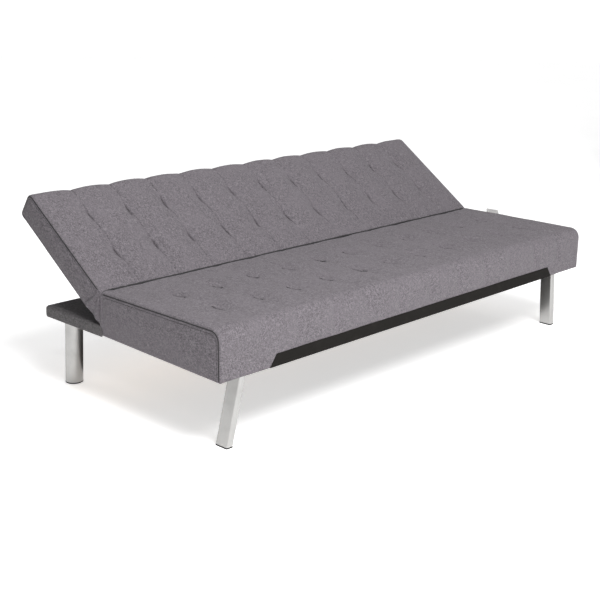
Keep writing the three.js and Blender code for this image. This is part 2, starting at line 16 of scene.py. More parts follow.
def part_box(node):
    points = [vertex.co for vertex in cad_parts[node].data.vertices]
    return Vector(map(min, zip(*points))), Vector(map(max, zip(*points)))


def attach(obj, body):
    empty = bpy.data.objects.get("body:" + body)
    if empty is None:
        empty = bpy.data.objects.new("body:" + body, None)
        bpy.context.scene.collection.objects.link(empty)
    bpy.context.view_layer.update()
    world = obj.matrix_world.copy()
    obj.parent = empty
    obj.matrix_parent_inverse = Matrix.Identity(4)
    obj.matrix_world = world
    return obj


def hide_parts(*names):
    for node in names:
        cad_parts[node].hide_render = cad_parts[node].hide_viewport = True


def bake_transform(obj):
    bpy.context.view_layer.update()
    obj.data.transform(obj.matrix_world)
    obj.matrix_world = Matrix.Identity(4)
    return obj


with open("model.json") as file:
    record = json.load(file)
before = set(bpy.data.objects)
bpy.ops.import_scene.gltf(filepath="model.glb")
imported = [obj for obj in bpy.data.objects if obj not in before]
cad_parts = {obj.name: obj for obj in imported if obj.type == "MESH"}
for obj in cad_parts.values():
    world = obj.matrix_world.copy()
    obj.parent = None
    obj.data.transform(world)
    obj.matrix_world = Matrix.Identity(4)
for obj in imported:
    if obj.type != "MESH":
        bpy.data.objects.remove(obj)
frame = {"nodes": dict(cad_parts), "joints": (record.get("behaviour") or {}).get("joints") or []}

MM = 0.001
SIDES = (("left", -1.0), ("right", 1.0))
CHANNELS = 12
END_DROP = 5 * MM
SEAM_START = 6 * MM
STITCH_INSET = 8 * MM
log = logging.getLogger("sofa")

Colour = tuple[float, float, float]
Number = Union[float, "Value"]


# ---------------------------------------------------------------------------------------------
# Shader tools
# ---------------------------------------------------------------------------------------------


class Value:
    """A shader output that plain arithmetic works on, each operator adding its Math node."""

    def __init__(self, graph: "Graph", socket: bpy.types.NodeSocket) -> None:
        """Wraps one output socket of a graph."""
        self.graph = graph
        self.socket = socket

    def _math(self, operation: str, first: Number, second: Number) -> "Value":
        """Adds a Math node for one operation on two values."""
        return self.graph.node("ShaderNodeMath", {"operation": operation}, {0: first, 1: second})

    def __add__(self, other: Number) -> "Value":
        """self + other."""
        return self._math("ADD", self, other)

    def __radd__(self, other: Number) -> "Value":
        """other + self."""
        return self._math("ADD", other, self)

    def __sub__(self, other: Number) -> "Value":
        """self - other."""
        return self._math("SUBTRACT", self, other)

    def __mul__(self, other: Number) -> "Value":
        """self * other."""
        return self._math("MULTIPLY", self, other)

    def sine(self) -> "Value":
        """The sine of the value, in radians."""
        return self._math("SINE", self, 0.0)

    def between(self, low: float, high: float) -> "Value":
        """A smooth step from 0 at low to 1 at high.

        Args:
            low: the value where the step starts.
            high: the value where the step ends.

        Returns:
            The stepped value.
        """
        settings = {"interpolation_type": "SMOOTHSTEP"}
        return self.graph.node("ShaderNodeMapRange", settings, {0: self, 1: low, 2: high, 3: 0.0, 4: 1.0})


class Graph:
    """The node tree of one material, with a Principled shader at its end."""

    def __init__(self, name: str) -> None:
        """Starts an empty material of that name."""
        self.material = bpy.data.materials.new(name)
        self.material.use_nodes = True
        self.tree = self.material.node_tree
        self.tree.nodes.clear()
        self.shader = self.tree.nodes.new("ShaderNodeBsdfPrincipled")
        output = self.tree.nodes.new("ShaderNodeOutputMaterial")
        self.tree.links.new(self.shader.outputs[0], output.inputs[0])

    def node(self, kind: str, settings: dict, inputs: dict, output: Union[int, str] = 0) -> Value:
        """Adds one node of any type.

        Args:
            kind: the node's type name.
            settings: properties set first; "stops" fills a ramp with (place, colour) pairs.
            inputs: what each input socket, by name or number, is linked to or set to.
            output: the output socket to return.

        Returns:
            The chosen output, wrapped.
        """
        made = self.tree.nodes.new(kind)
        for key, setting in settings.items():
            if key == "stops":
                self._fill_ramp(made.color_ramp, setting)
            else:
                setattr(made, key, setting)
        for key, source in inputs.items():
            self.feed(made.inputs[key], source)
        return Value(self, made.outputs[output])

    @staticmethod
    def _fill_ramp(ramp: bpy.types.ColorRamp, stops: Sequence[tuple[float, Colour]]) -> None:
        """Sets a ramp's stops from (place, colour) pairs."""
        while len(ramp.elements) < len(stops):
            ramp.elements.new(1.0)
        for element, (place, colour) in zip(ramp.elements, stops):
            element.position = place
            element.color = (*colour, 1.0)

    def feed(self, socket: bpy.types.NodeSocket, source: object) -> None:
        """Links a value to a socket, or sets the socket's own number, vector or colour."""
        if isinstance(source, Value):
            self.tree.links.new(source.socket, socket)
        elif isinstance(source, tuple) and len(socket.default_value) == 4:
            socket.default_value = (*source[:3], 1.0)
        else:
            socket.default_value = source

    def place(self, stretch: tuple[float, float, float] = (1.0, 1.0, 1.0)) -> Value:
        """A point's place on its own piece, in metres, scaled along each axis."""
        coordinates = self.node("ShaderNodeTexCoord", {}, {}, "Object")
        return self.node("ShaderNodeVectorMath", {"operation": "MULTIPLY"}, {0: coordinates, 1: stretch})

    def cloth_lines(self) -> tuple[Value, Value]:
        """Distances over the cloth, across it and along it, in metres."""
        uv = self.node("ShaderNodeTexCoord", {}, {}, "UV")
        split = self.node("ShaderNodeSeparateXYZ", {}, {0: uv})
        return split, Value(self, split.socket.node.outputs[1])

    def noise(self, place: Value, scale: float, detail: float = 2.0, rough: float = 0.5) -> Value:
        """Noise from 0 to 1 with features about 1 / scale metres across."""
        sockets = {"Vector": place, "Scale": scale, "Detail": detail, "Roughness": rough}
        return self.node("ShaderNodeTexNoise", {}, sockets)

    def blend(self, first: object, second: object, share: Number) -> Value:
        """A colour between two colours."""
        inputs = {0: share, 6: first, 7: second}
        return self.node("ShaderNodeMix", {"data_type": "RGBA"}, inputs, 2)

    def bump(self, height: Value, distance: float) -> Value:
        """A normal raised by a height, where a height of 1 stands for a distance in metres."""
        return self.node("ShaderNodeBump", {}, {"Height": height, "Distance": distance, "Strength": 1.0})

    def finish(self, **sockets: object) -> bpy.types.Material:
        """Feeds the shader's sockets, named with underscores for spaces, and returns the material."""
        for key, source in sockets.items():
            self.feed(self.shader.inputs[key.replace("_", " ")], source)
        return self.material


# ---------------------------------------------------------------------------------------------
# Finishes
# ---------------------------------------------------------------------------------------------


@dataclass(frozen=True)
class HeatherCloth:
    """Woven upholstery of mixed light and dark threads, slightly fuzzy."""

    name: str
    dark: Colour
    middle: Colour
    light: Colour
    thread: float = 0.0011
    fleck: float = 0.0034
    sheen: float = 0.12
    relief: float = 0.00028
    slub: tuple[float, float, float] = (1.0, 0.60, 1.0)

    def material(self) -> bpy.types.Material:
        """Makes the woven material."""
        graph = Graph(self.name)
        spot = graph.place(self.slub)
        grain = graph.noise(spot, 1.0 / self.fleck, 2.0, 0.7)
        fine = graph.noise(graph.place(), 1.0 / self.thread, 2.0, 0.6)
        patch_shade_mask = graph.noise(spot, 14.0, 3.0, 0.55)
        blotch = graph.noise(spot, 0.45 / self.fleck, 2.0, 0.6)
        mix = grain * 0.52 + fine * 0.26 + blotch * 0.22
        stops = [(0.35, self.dark), (0.49, self.middle), (0.64, self.light)]
        threads = graph.node("ShaderNodeValToRGB", {"stops": stops}, {0: mix})
        # painted light and shade: large soft lighter patches at random, standing in for the light and shade
        # over the stuffing
        painted_patch_light = tuple(channel * 1.22 for channel in self.middle)
        colour = graph.blend(threads, painted_patch_light, patch_shade_mask.between(0.40, 0.70) * 0.42)
        across, along = graph.cloth_lines()
        turn = 2.0 * math.pi / (2.0 * self.thread)
        weave = (across * turn).sine() * (along * turn).sine()
        height = weave * 0.4 + fine * 0.6 + grain * 0.25
        normal = graph.bump(height, self.relief)
        graph.shader.inputs["Sheen Weight"].default_value = self.sheen
        graph.shader.inputs["Sheen Roughness"].default_value = 0.5
        graph.shader.inputs["Specular IOR Level"].default_value = 0.15
        return graph.finish(Base_Color=colour, Roughness=0.86 + fine * 0.12, Normal=normal)


@dataclass(frozen=True)
class SatinMetal:
    """Polished or brushed metal with faint drawing lines, smears and small pits."""

    name: str
    colour: Colour
    roughness: float
    stretch: tuple[float, float, float] = (1.0, 1.0, 0.04)
    relief: float = 0.00003

    def material(self) -> bpy.types.Material:
        """Makes the metal material."""
        graph = Graph(self.name)
        lines = graph.noise(graph.place(self.stretch), 900.0, 3.0, 0.6)
        smear = graph.noise(graph.place(), 22.0, 3.0, 0.6)
        dulled = tuple(channel * 0.86 for channel in self.colour)
        colour = graph.blend(self.colour, dulled, smear.between(0.45, 0.72) * 0.5 + lines * 0.12)
        rough = self.roughness + smear * 0.10 + lines * 0.06
        normal = graph.bump(lines + smear * 0.3, self.relief)
        graph.shader.inputs["Metallic"].default_value = 1.0
        return graph.finish(Base_Color=colour, Roughness=rough, Normal=normal)


@dataclass(frozen=True)
class SawnTimber:
    """Planed softwood with growth rings, fine grain and a few darker streaks."""

    name: str
    pale: Colour
    dark: Colour
    stretch: tuple[float, float, float] = (0.06, 1.0, 1.0)

    def material(self) -> bpy.types.Material:
        """Makes the timber material."""
        graph = Graph(self.name)
        spot = graph.place(self.stretch)
        swirl = graph.noise(spot, 9.0, 3.0, 0.5)
        settings = {"wave_type": "RINGS", "rings_direction": "X"}
        sockets = {"Vector": spot, "Scale": 26.0, "Distortion": 5.0, "Detail": 2.0}
        rings = graph.node("ShaderNodeTexWave", settings, sockets, "Fac")
        grain = graph.noise(spot, 260.0, 3.0, 0.6)
        share = rings * 0.55 + grain * 0.25 + swirl * 0.20
        colour = graph.blend(self.pale, self.dark, share.between(0.25, 0.85))
        normal = graph.bump(grain * 0.6 + rings * 0.4, 0.0003)
        return graph.finish(Base_Color=colour, Roughness=0.62 + grain * 0.18, Normal=normal)


@dataclass(frozen=True)
class MouldedPlastic:
    """Matt plastic or painted edging with a fine pebbled skin and rubbed patches."""

    name: str
    colour: Colour
    roughness: float = 0.55
    pebble: float = 0.0009
    shine: float = 0.2

    def material(self) -> bpy.types.Material:
        """Makes the plastic material."""
        graph = Graph(self.name)
        spot = graph.place()
        skin = graph.noise(spot, 1.0 / self.pebble, 2.0, 0.5)
        rub = graph.noise(spot, 18.0, 4.0, 0.6)
        rubbed = tuple(channel * 1.7 + 0.004 for channel in self.colour)
        colour = graph.blend(self.colour, rubbed, rub.between(0.5, 0.8) * 0.6)
        normal = graph.bump(skin, 0.0002)
        graph.shader.inputs["Specular IOR Level"].default_value = self.shine
        return graph.finish(Base_Color=colour, Roughness=self.roughness + rub * 0.15, Normal=normal)


@dataclass(frozen=True)
class ThinCloth:
    """Plain thin cloth, such as spun lining or woven tape, with a pressed dot pattern."""

    name: str
    colour: Colour
    pitch: float = 0.0016

    def material(self) -> bpy.types.Material:
        """Makes the cloth material."""
        graph = Graph(self.name)
        spot = graph.place()
        fibre = graph.noise(spot, 1400.0, 3.0, 0.7)
        patch = graph.noise(spot, 30.0, 3.0, 0.6)
        across, along = graph.cloth_lines()
        turn = 2.0 * math.pi / self.pitch
        dots = ((across * turn).sine() * (along * turn).sine()).between(0.1, 0.9)
        pressed = tuple(channel * 0.72 for channel in self.colour)
        colour = graph.blend(self.colour, pressed, dots * 0.5 + patch * 0.3)
        normal = graph.bump(fibre * 0.5 - dots * 0.5, 0.0002)
        return graph.finish(Base_Color=colour, Roughness=0.82 + fibre * 0.14, Normal=normal)


@dataclass(frozen=True)
class Thread:
    """Twisted sewing thread."""

    name: str
    colour: Colour

    def material(self) -> bpy.types.Material:
        """Makes the thread material."""
        graph = Graph(self.name)
        twist = graph.noise(graph.place(), 1600.0, 2.0, 0.6)
        shade = tuple(channel * 0.6 for channel in self.colour)
        colour = graph.blend(shade, self.colour, twist.between(0.35, 0.65))
        return graph.finish(Base_Color=colour, Roughness=0.7 + twist * 0.2, Normal=graph.bump(twist, 0.0002))


class Finish(Enum):
    """Every finish that the sofa uses."""

    UPHOLSTERY = HeatherCloth("grey_heather", dark=(0.060, 0.0526, 0.0592), middle=(0.122, 0.1100, 0.1212),
                              light=(0.224, 0.205, 0.222))
    # painted shade: the upholstery's heather again, coloured darker because the ledge lies in shade behind
    # the back
    SHADED_LEDGE = HeatherCloth("shaded_ledge_heather", dark=(0.043, 0.040, 0.041), middle=(0.084, 0.079, 0.081),
                         light=(0.150, 0.141, 0.146))
    CHROME = SatinMetal("leg_metal", (0.41, 0.406, 0.398), 0.26)
    HINGE = SatinMetal("hinge_metal", (0.30, 0.31, 0.33), 0.42, (1.0, 0.05, 1.0))
    ZINC = SatinMetal("zinc_metal", (0.56, 0.56, 0.54), 0.34)
    SPRING = SatinMetal("spring_metal", (0.22, 0.23, 0.26), 0.36)
    TIMBER = SawnTimber("frame_pine", (0.60, 0.42, 0.22), (0.40, 0.24, 0.10))
    BOARD = SawnTimber("ledge_hardboard", (0.36, 0.23, 0.12), (0.25, 0.15, 0.07), (0.4, 1.0, 1.0))
    STRIP = MouldedPlastic("strip_edging", (0.008, 0.007, 0.006), 0.6, shine=0.1)
    FOOT = MouldedPlastic("foot_rubber", (0.020, 0.020, 0.020), 0.65)
    LINING = ThinCloth("lining_cloth", (0.020, 0.020, 0.021))
    TAPE = ThinCloth("label_cloth", (0.86, 0.86, 0.84), 0.0009)
    STITCH = Thread("stitch_thread", (0.030, 0.027, 0.030))
    SEAM = Thread("seam_cord", (0.026, 0.024, 0.026))

    @property
    def material(self) -> bpy.types.Material:
        """The finish's material, made the first time it is asked for."""
        made = bpy.data.materials.get(self.value.name)
        return made or self.value.material()


# ---------------------------------------------------------------------------------------------
# Mesh tools
# ---------------------------------------------------------------------------------------------


@dataclass
class Piece:
    """One visible piece: its object, its finish and a slot word."""

    thing: bpy.types.Object
    finish: Finish
    slot: str

    def dress(self) -> "Piece":
        """Gives the piece its material, and reports it."""
        self.thing.data.materials.clear()
        self.thing.data.materials.append(self.finish.material)
        log.info("%s: %d faces, %s", self.thing.name, len(self.thing.data.polygons), self.finish.value.name)
        return self


def make_object(name: str, points: np.ndarray, faces: Sequence[Sequence[int]],
                lines: Optional[np.ndarray] = None) -> bpy.types.Object:
    """Makes a smooth-shaded mesh object.

    Args:
        name: the object's name.
        points: one row for each vertex, in metres.
        faces: vertex numbers of each face.
        lines: distance across and along the cloth for each vertex, or None.

    Returns:
        The object, linked to the scene.
    """
    mesh = bpy.data.meshes.new(name)
    mesh.from_pydata([tuple(map(float, p)) for p in points], [], [tuple(map(int, f)) for f in faces])
    if lines is not None:
        layer = mesh.uv_layers.new(name="cloth")
        loops = np.zeros(len(mesh.loops), np.int32)
        mesh.loops.foreach_get("vertex_index", loops)
        layer.data.foreach_set("uv", lines[loops].astype(np.float32).ravel())
    mesh.validate()
    mesh.polygons.foreach_set("use_smooth", [True] * len(mesh.polygons))
    made = bpy.data.objects.new(name, mesh)
    bpy.context.scene.collection.objects.link(made)
    return made


def grid_faces(rows: int, columns: int, closed: bool = False, start: int = 0) -> list[tuple[int, ...]]:
    """Four-sided faces over a grid of vertices, row by row.

    Args:
        rows: how many rows of vertices there are.
        columns: how many vertices each row has.
        closed: whether the last column joins the first.
        start: the number of the first vertex.

    Returns:
        The faces.
    """
    faces = []
    span = columns if closed else columns - 1
    for row in range(rows - 1):
        for column in range(span):
            after = (column + 1) % columns
            low = start + row * columns
            high = low + columns
            faces.append((low + column, low + after, high + after, high + column))
    return faces


def tube_faces(rows: int, columns: int, start: int = 0) -> list[tuple[int, ...]]:
    """Faces of a tube of closed rings, with a flat cap at each end.

    Args:
        rows: how many rings there are.
        columns: how many vertices each ring has.
        start: the number of the first vertex.

    Returns:
        The faces.
    """
    last = start + (rows - 1) * columns
    caps = [tuple(range(start, start + columns))[::-1], tuple(range(last, last + columns))]
    return grid_faces(rows, columns, closed=True, start=start) + caps


def points_of(thing: bpy.types.Object) -> np.ndarray:
    """The vertices of a mesh object, one row each."""
    flat = np.zeros(len(thing.data.vertices) * 3, np.float32)
    thing.data.vertices.foreach_get("co", flat)
    return flat.reshape(-1, 3).astype(float)


def set_points(thing: bpy.types.Object, points: np.ndarray) -> None:
    """Moves the vertices of a mesh object to new places."""
    thing.data.vertices.foreach_set("co", points.astype(np.float32).ravel())
    thing.data.update()


def apply_modifiers(thing: bpy.types.Object) -> None:
    """Replaces an object's mesh with what its modifiers make of it, and drops them."""
    graph = bpy.context.evaluated_depsgraph_get()
    made = bpy.data.meshes.new_from_object(thing.evaluated_get(graph))
    thing.modifiers.clear()
    old = thing.data
    thing.data = made
    made.name = old.name
    bpy.data.meshes.remove(old)


def thicken(thing: bpy.types.Object, thickness: float) -> None:
    """Gives a single layer of cloth a thickness, half of it to each side."""
    solid = thing.modifiers.new("thickness", "SOLIDIFY")
    solid.thickness = thickness
    solid.offset = 0
    apply_modifiers(thing)


def clean(thing: bpy.types.Object, distance: float) -> None:
    """Merges vertices closer than a distance and turns every face outward."""
    shape = bmesh.new()
    shape.from_mesh(thing.data)
    bmesh.ops.remove_doubles(shape, verts=shape.verts, dist=distance)
    bmesh.ops.dissolve_degenerate(shape, dist=distance, edges=shape.edges)
    bmesh.ops.recalc_face_normals(shape, faces=shape.faces)
    shape.to_mesh(thing.data)
    shape.free()


def crease_edges(thing: bpy.types.Object, degrees: float) -> None:
    """Shades a mesh smooth but for edges sharper than an angle."""
    thing.data.polygons.foreach_set("use_smooth", [True] * len(thing.data.polygons))
    thing.data.set_sharp_from_angle(angle=math.radians(degrees))


def box_object(name: str, low: Sequence[float], high: Sequence[float]) -> bpy.types.Object:
    """A box used as a cutting tool."""
    corners = [[(low, high)[(i >> axis) & 1][axis] for axis in range(3)] for i in range(8)]
    faces = [(0, 2, 3, 1), (4, 5, 7, 6), (0, 1, 5, 4), (2, 6, 7, 3), (0, 4, 6, 2), (1, 3, 7, 5)]
    return make_object(name, np.array(corners), faces)


def carve(thing: bpy.types.Object, boxes: Sequence[tuple[Sequence[float], Sequence[float]]]) -> None:
    """Cuts boxes, each given by its low and high corners, out of a closed mesh."""
    for low, high in boxes:
        tool = box_object("cutter", low, high)
        cut = thing.modifiers.new("cut", "BOOLEAN")
        cut.operation = "DIFFERENCE"
        cut.solver = "EXACT"
        cut.object = tool
        apply_modifiers(thing)
        mesh = tool.data
        bpy.data.objects.remove(tool)
        bpy.data.meshes.remove(mesh)


def rounded_loop(corners: Sequence[tuple[float, float, float]], step: float) -> np.ndarray:
    """A closed outline with rounded corners, as evenly spaced points.

    Args:
        corners: (first, second, radius) for each corner, in order.
        step: the distance between points.

    Returns:
        The outline's points, one row each, with no point repeated.
    """
    path: list[np.ndarray] = []
    count = len(corners)
    for index, (u, v, radius) in enumerate(corners):
        here = np.array([u, v])
        before = np.array(corners[index - 1][:2]) - here
        after = np.array(corners[(index + 1) % count][:2]) - here
        before = before / np.linalg.norm(before)
        after = after / np.linalg.norm(after)
        half = math.acos(float(np.clip(before @ after, -1, 1))) / 2
        reach = radius / math.tan(half)
        centre = here + (before + after) / np.linalg.norm(before + after) * radius / math.sin(half)
        start, end = here + before * reach - centre, here + after * reach - centre
        turn = math.pi - 2 * half
        steps = max(2, int(math.ceil(turn * radius / step)) + 1)
        for share in np.linspace(0.0, 1.0, steps):
            mixed = start * (1 - share) + end * share
            length = np.linalg.norm(mixed)
            path.append(centre + (mixed / length * radius if length > 1e-9 else mixed))
    closed = np.array(path + [path[0]])
    gaps = np.linalg.norm(np.diff(closed, axis=0), axis=1)
    keep = np.concatenate([[True], gaps > 1e-7])
    closed = closed[keep]
    places = np.concatenate([[0], np.cumsum(np.linalg.norm(np.diff(closed, axis=0), axis=1))])
    wanted = np.linspace(0, places[-1], int(round(places[-1] / step)) + 1)[:-1]
    return np.stack([np.interp(wanted, places, closed[:, k]) for k in range(2)], axis=1)


def outward(loop: np.ndarray) -> np.ndarray:
    """Unit normals of a closed outline, pointing out of it."""
    along = np.roll(loop, -1, axis=0) - np.roll(loop, 1, axis=0)
    normal = np.stack([along[:, 1], -along[:, 0]], axis=1)
    normal /= np.linalg.norm(normal, axis=1, keepdims=True)
    area = np.sum(loop[:, 0] * np.roll(loop[:, 1], -1) - np.roll(loop[:, 0], -1) * loop[:, 1])
    return normal if area > 0 else -normal


# ---------------------------------------------------------------------------------------------
# Where things are
# ---------------------------------------------------------------------------------------------


@dataclass
class Layout:
    """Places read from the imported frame, in metres."""

    half: float = field(init=False)
    front: float = field(init=False)
    seat_top: float = field(init=False)
    seat_bottom: float = field(init=False)
    crease_y: float = field(init=False)
    lean: float = field(init=False)
    bend_reach: float = 36 * MM
    bend_tilt: float = math.radians(26)

    def __post_init__(self) -> None:
        """Reads the seat's box and the recline hinge."""
        low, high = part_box("seat_cover")
        self.half = high.x
        self.front = low.y
        self.seat_top = high.z
        self.seat_bottom = low.z
        hinge = next(j for j in frame["joints"] if j["name"] == "back_recline")
        self.crease_y = hinge["pos_m"][1]
        self.lean = -math.radians(hinge["range_deg"][0])

    def on_back(self, x: float, along: float, up: float) -> tuple[float, float, float]:
        """A point along the back from the crease and up from its face, in the sofa's frame."""
        c, s = math.cos(self.lean), math.sin(self.lean)
        return (x, self.crease_y + along * c - up * s, self.seat_top + along * s + up * c)

    def blend_span(self) -> tuple[tuple[float, float, float], tuple[float, float, float]]:
        """Two points on either side of the crease, where cloth would start and stop turning with the back."""
        along, up = self.bend_reach * math.cos(self.bend_tilt), self.bend_reach * math.sin(self.bend_tilt)
        y, z = self.crease_y, self.seat_top
        return ((0, y - along, z - up), (0, y + along, z + up))


# ---------------------------------------------------------------------------------------------
# Tufted cushions
# ---------------------------------------------------------------------------------------------


@dataclass
class Tuft:
    """One blind-stitched tuft on a channel seam."""

    x: float
    along: float
    depth: float
    length: float
    slant: float
    curl: float


@dataclass
class Tufting:
    """Channels across a cushion's face, and the tufts on their seams. Lengths are in metres."""

    half: float
    rows: tuple[float, ...]
    seed: int
    puff: float
    puff_far: float
    dimple: float
    slit: float
    seam: float
    slants: tuple[float, float] = (-0.16, 0.16)
    channels: int = CHANNELS
    tufts: list[Tuft] = field(default_factory=list)
    shades: list[float] = field(default_factory=list)

    def __post_init__(self) -> None:
        """Places the tufts with small, seeded differences."""
        dice = random.Random(self.seed)
        for x in self.seams():
            for row in self.rows:
                self.tufts.append(Tuft(
                    x=x + dice.uniform(-2.5, 2.5) * MM,
                    along=row + dice.uniform(-5.0, 5.0) * MM,
                    depth=dice.uniform(0.75, 1.2),
                    length=dice.uniform(20, 34) * MM,
                    slant=dice.uniform(*self.slants),
                    curl=dice.uniform(-3.5, 3.5),
                ))
        self.shades = [dice.uniform(0.82, 1.18) for _ in range(self.channels)]

    def pitch(self) -> float:
        """The width of one channel."""
        return 2 * self.half / self.channels

    def seams(self) -> list[float]:
        """Where each channel seam is."""
        return [-self.half + self.pitch() * (k + 1) for k in range(self.channels - 1)]

    def height(self, x: np.ndarray, along: np.ndarray, fade: np.ndarray) -> np.ndarray:
        """How far the face stands proud of the plain cushion.

        Args:
            x: places across the sofa.
            along: places along the face, from the crease.
            fade: 1 on the face, falling to 0 where the tufting stops.

        Returns:
            The height at each place.
        """
        pitch = self.pitch()
        spot = (x + self.half) / pitch
        channel = np.clip(spot.astype(int), 0, self.channels - 1)
        near = np.abs(spot - np.round(spot)) * 2
        inner = (np.round(spot) > 0.5) & (np.round(spot) < self.channels - 0.5)
        near = np.where(inner, near, np.maximum(near, 0.55))
        bulge = 1 - (1 - near) ** 2.3
        tight = sum(np.exp(-((along - row) / (58 * MM)) ** 2) for row in self.rows)
        swell = self.puff_far + (self.puff - self.puff_far) * np.clip(tight, 0, 1)
        rise = swell * (bulge - 0.45) * np.array(self.shades)[channel]
        groove = np.exp(-(near * pitch / 2 / (2.0 * MM)) ** 2) * inner
        unevenness = 0.55 + 0.45 * np.sin(along * 61 + channel * 2.1)
        rise = rise - self.seam * groove * unevenness
        for tuft in self.tufts:
            rise = rise + self._tuft_height(tuft, x, along)
        return rise * fade

    def _tuft_height(self, tuft: Tuft, x: np.ndarray, along: np.ndarray) -> np.ndarray:
        """The dimple, slit and small radiating folds of one tuft."""
        dx, dy = x - tuft.x, along - tuft.along
        close = np.abs(dx) < self.pitch() * 0.8
        reach = np.where(close, (dx / (17 * MM)) ** 2 + (dy / (26 * MM)) ** 2, 99.0)
        bowl = -self.dimple * tuft.depth * np.exp(-reach / 2)
        bent = dx - tuft.slant * dy - tuft.curl * dy ** 2
        ends = np.clip(1 - (dy / tuft.length) ** 2, 0, 1)
        cut = -self.slit * tuft.depth * np.exp(-((bent / (2.3 * MM)) ** 2)) * ends
        lip = 1.0 * MM * tuft.depth * np.exp(-(((np.abs(bent) - 6 * MM) / (3 * MM)) ** 2)) * ends
        angle = np.arctan2(dy, dx)
        far = np.sqrt(dx ** 2 + dy ** 2)
        spread = np.exp(-far / (34 * MM)) * (1 - np.exp(-((far / (12 * MM)) ** 2)))
        folds = 1.1 * MM * np.cos(angle * 6 + tuft.curl * 2) * spread
        return bowl + cut + lip + folds


def stations(half: float, channels: int) -> np.ndarray:
    """Places across the sofa for a cushion's sections, close together at seams and ends.

    Args:
        half: half the sofa's width.
        channels: how many channels there are.

    Returns:
        The places, from one end to the other.
    """
    pitch = 2 * half / channels
    offsets = np.array([0, 1.1, 2.2, 3.4, 5.0, 7.4, 11, 16, 23, 32, 43, 55, 66]) * MM
    found = {round(half, 6), round(-half, 6)}
    for k in range(1, channels):
        seam = -half + pitch * k
        found |= {round(seam + side * offset, 6) for side in (-1, 1) for offset in offsets}
    for inward in (0.5, 1.2, 2.2, 3.6, 5.4, 7.6, 10, 13, 17, 23, 31, 41, 53, 66, 79, 92, 106):
        found |= {round(side * (half - inward * MM), 6) for side in (-1, 1)}
    ordered = sorted(found)
    kept = [ordered[0]]
    for place in ordered[1:]:
        if place - kept[-1] > 0.45 * MM:
            kept.append(place)
    return np.array(kept)


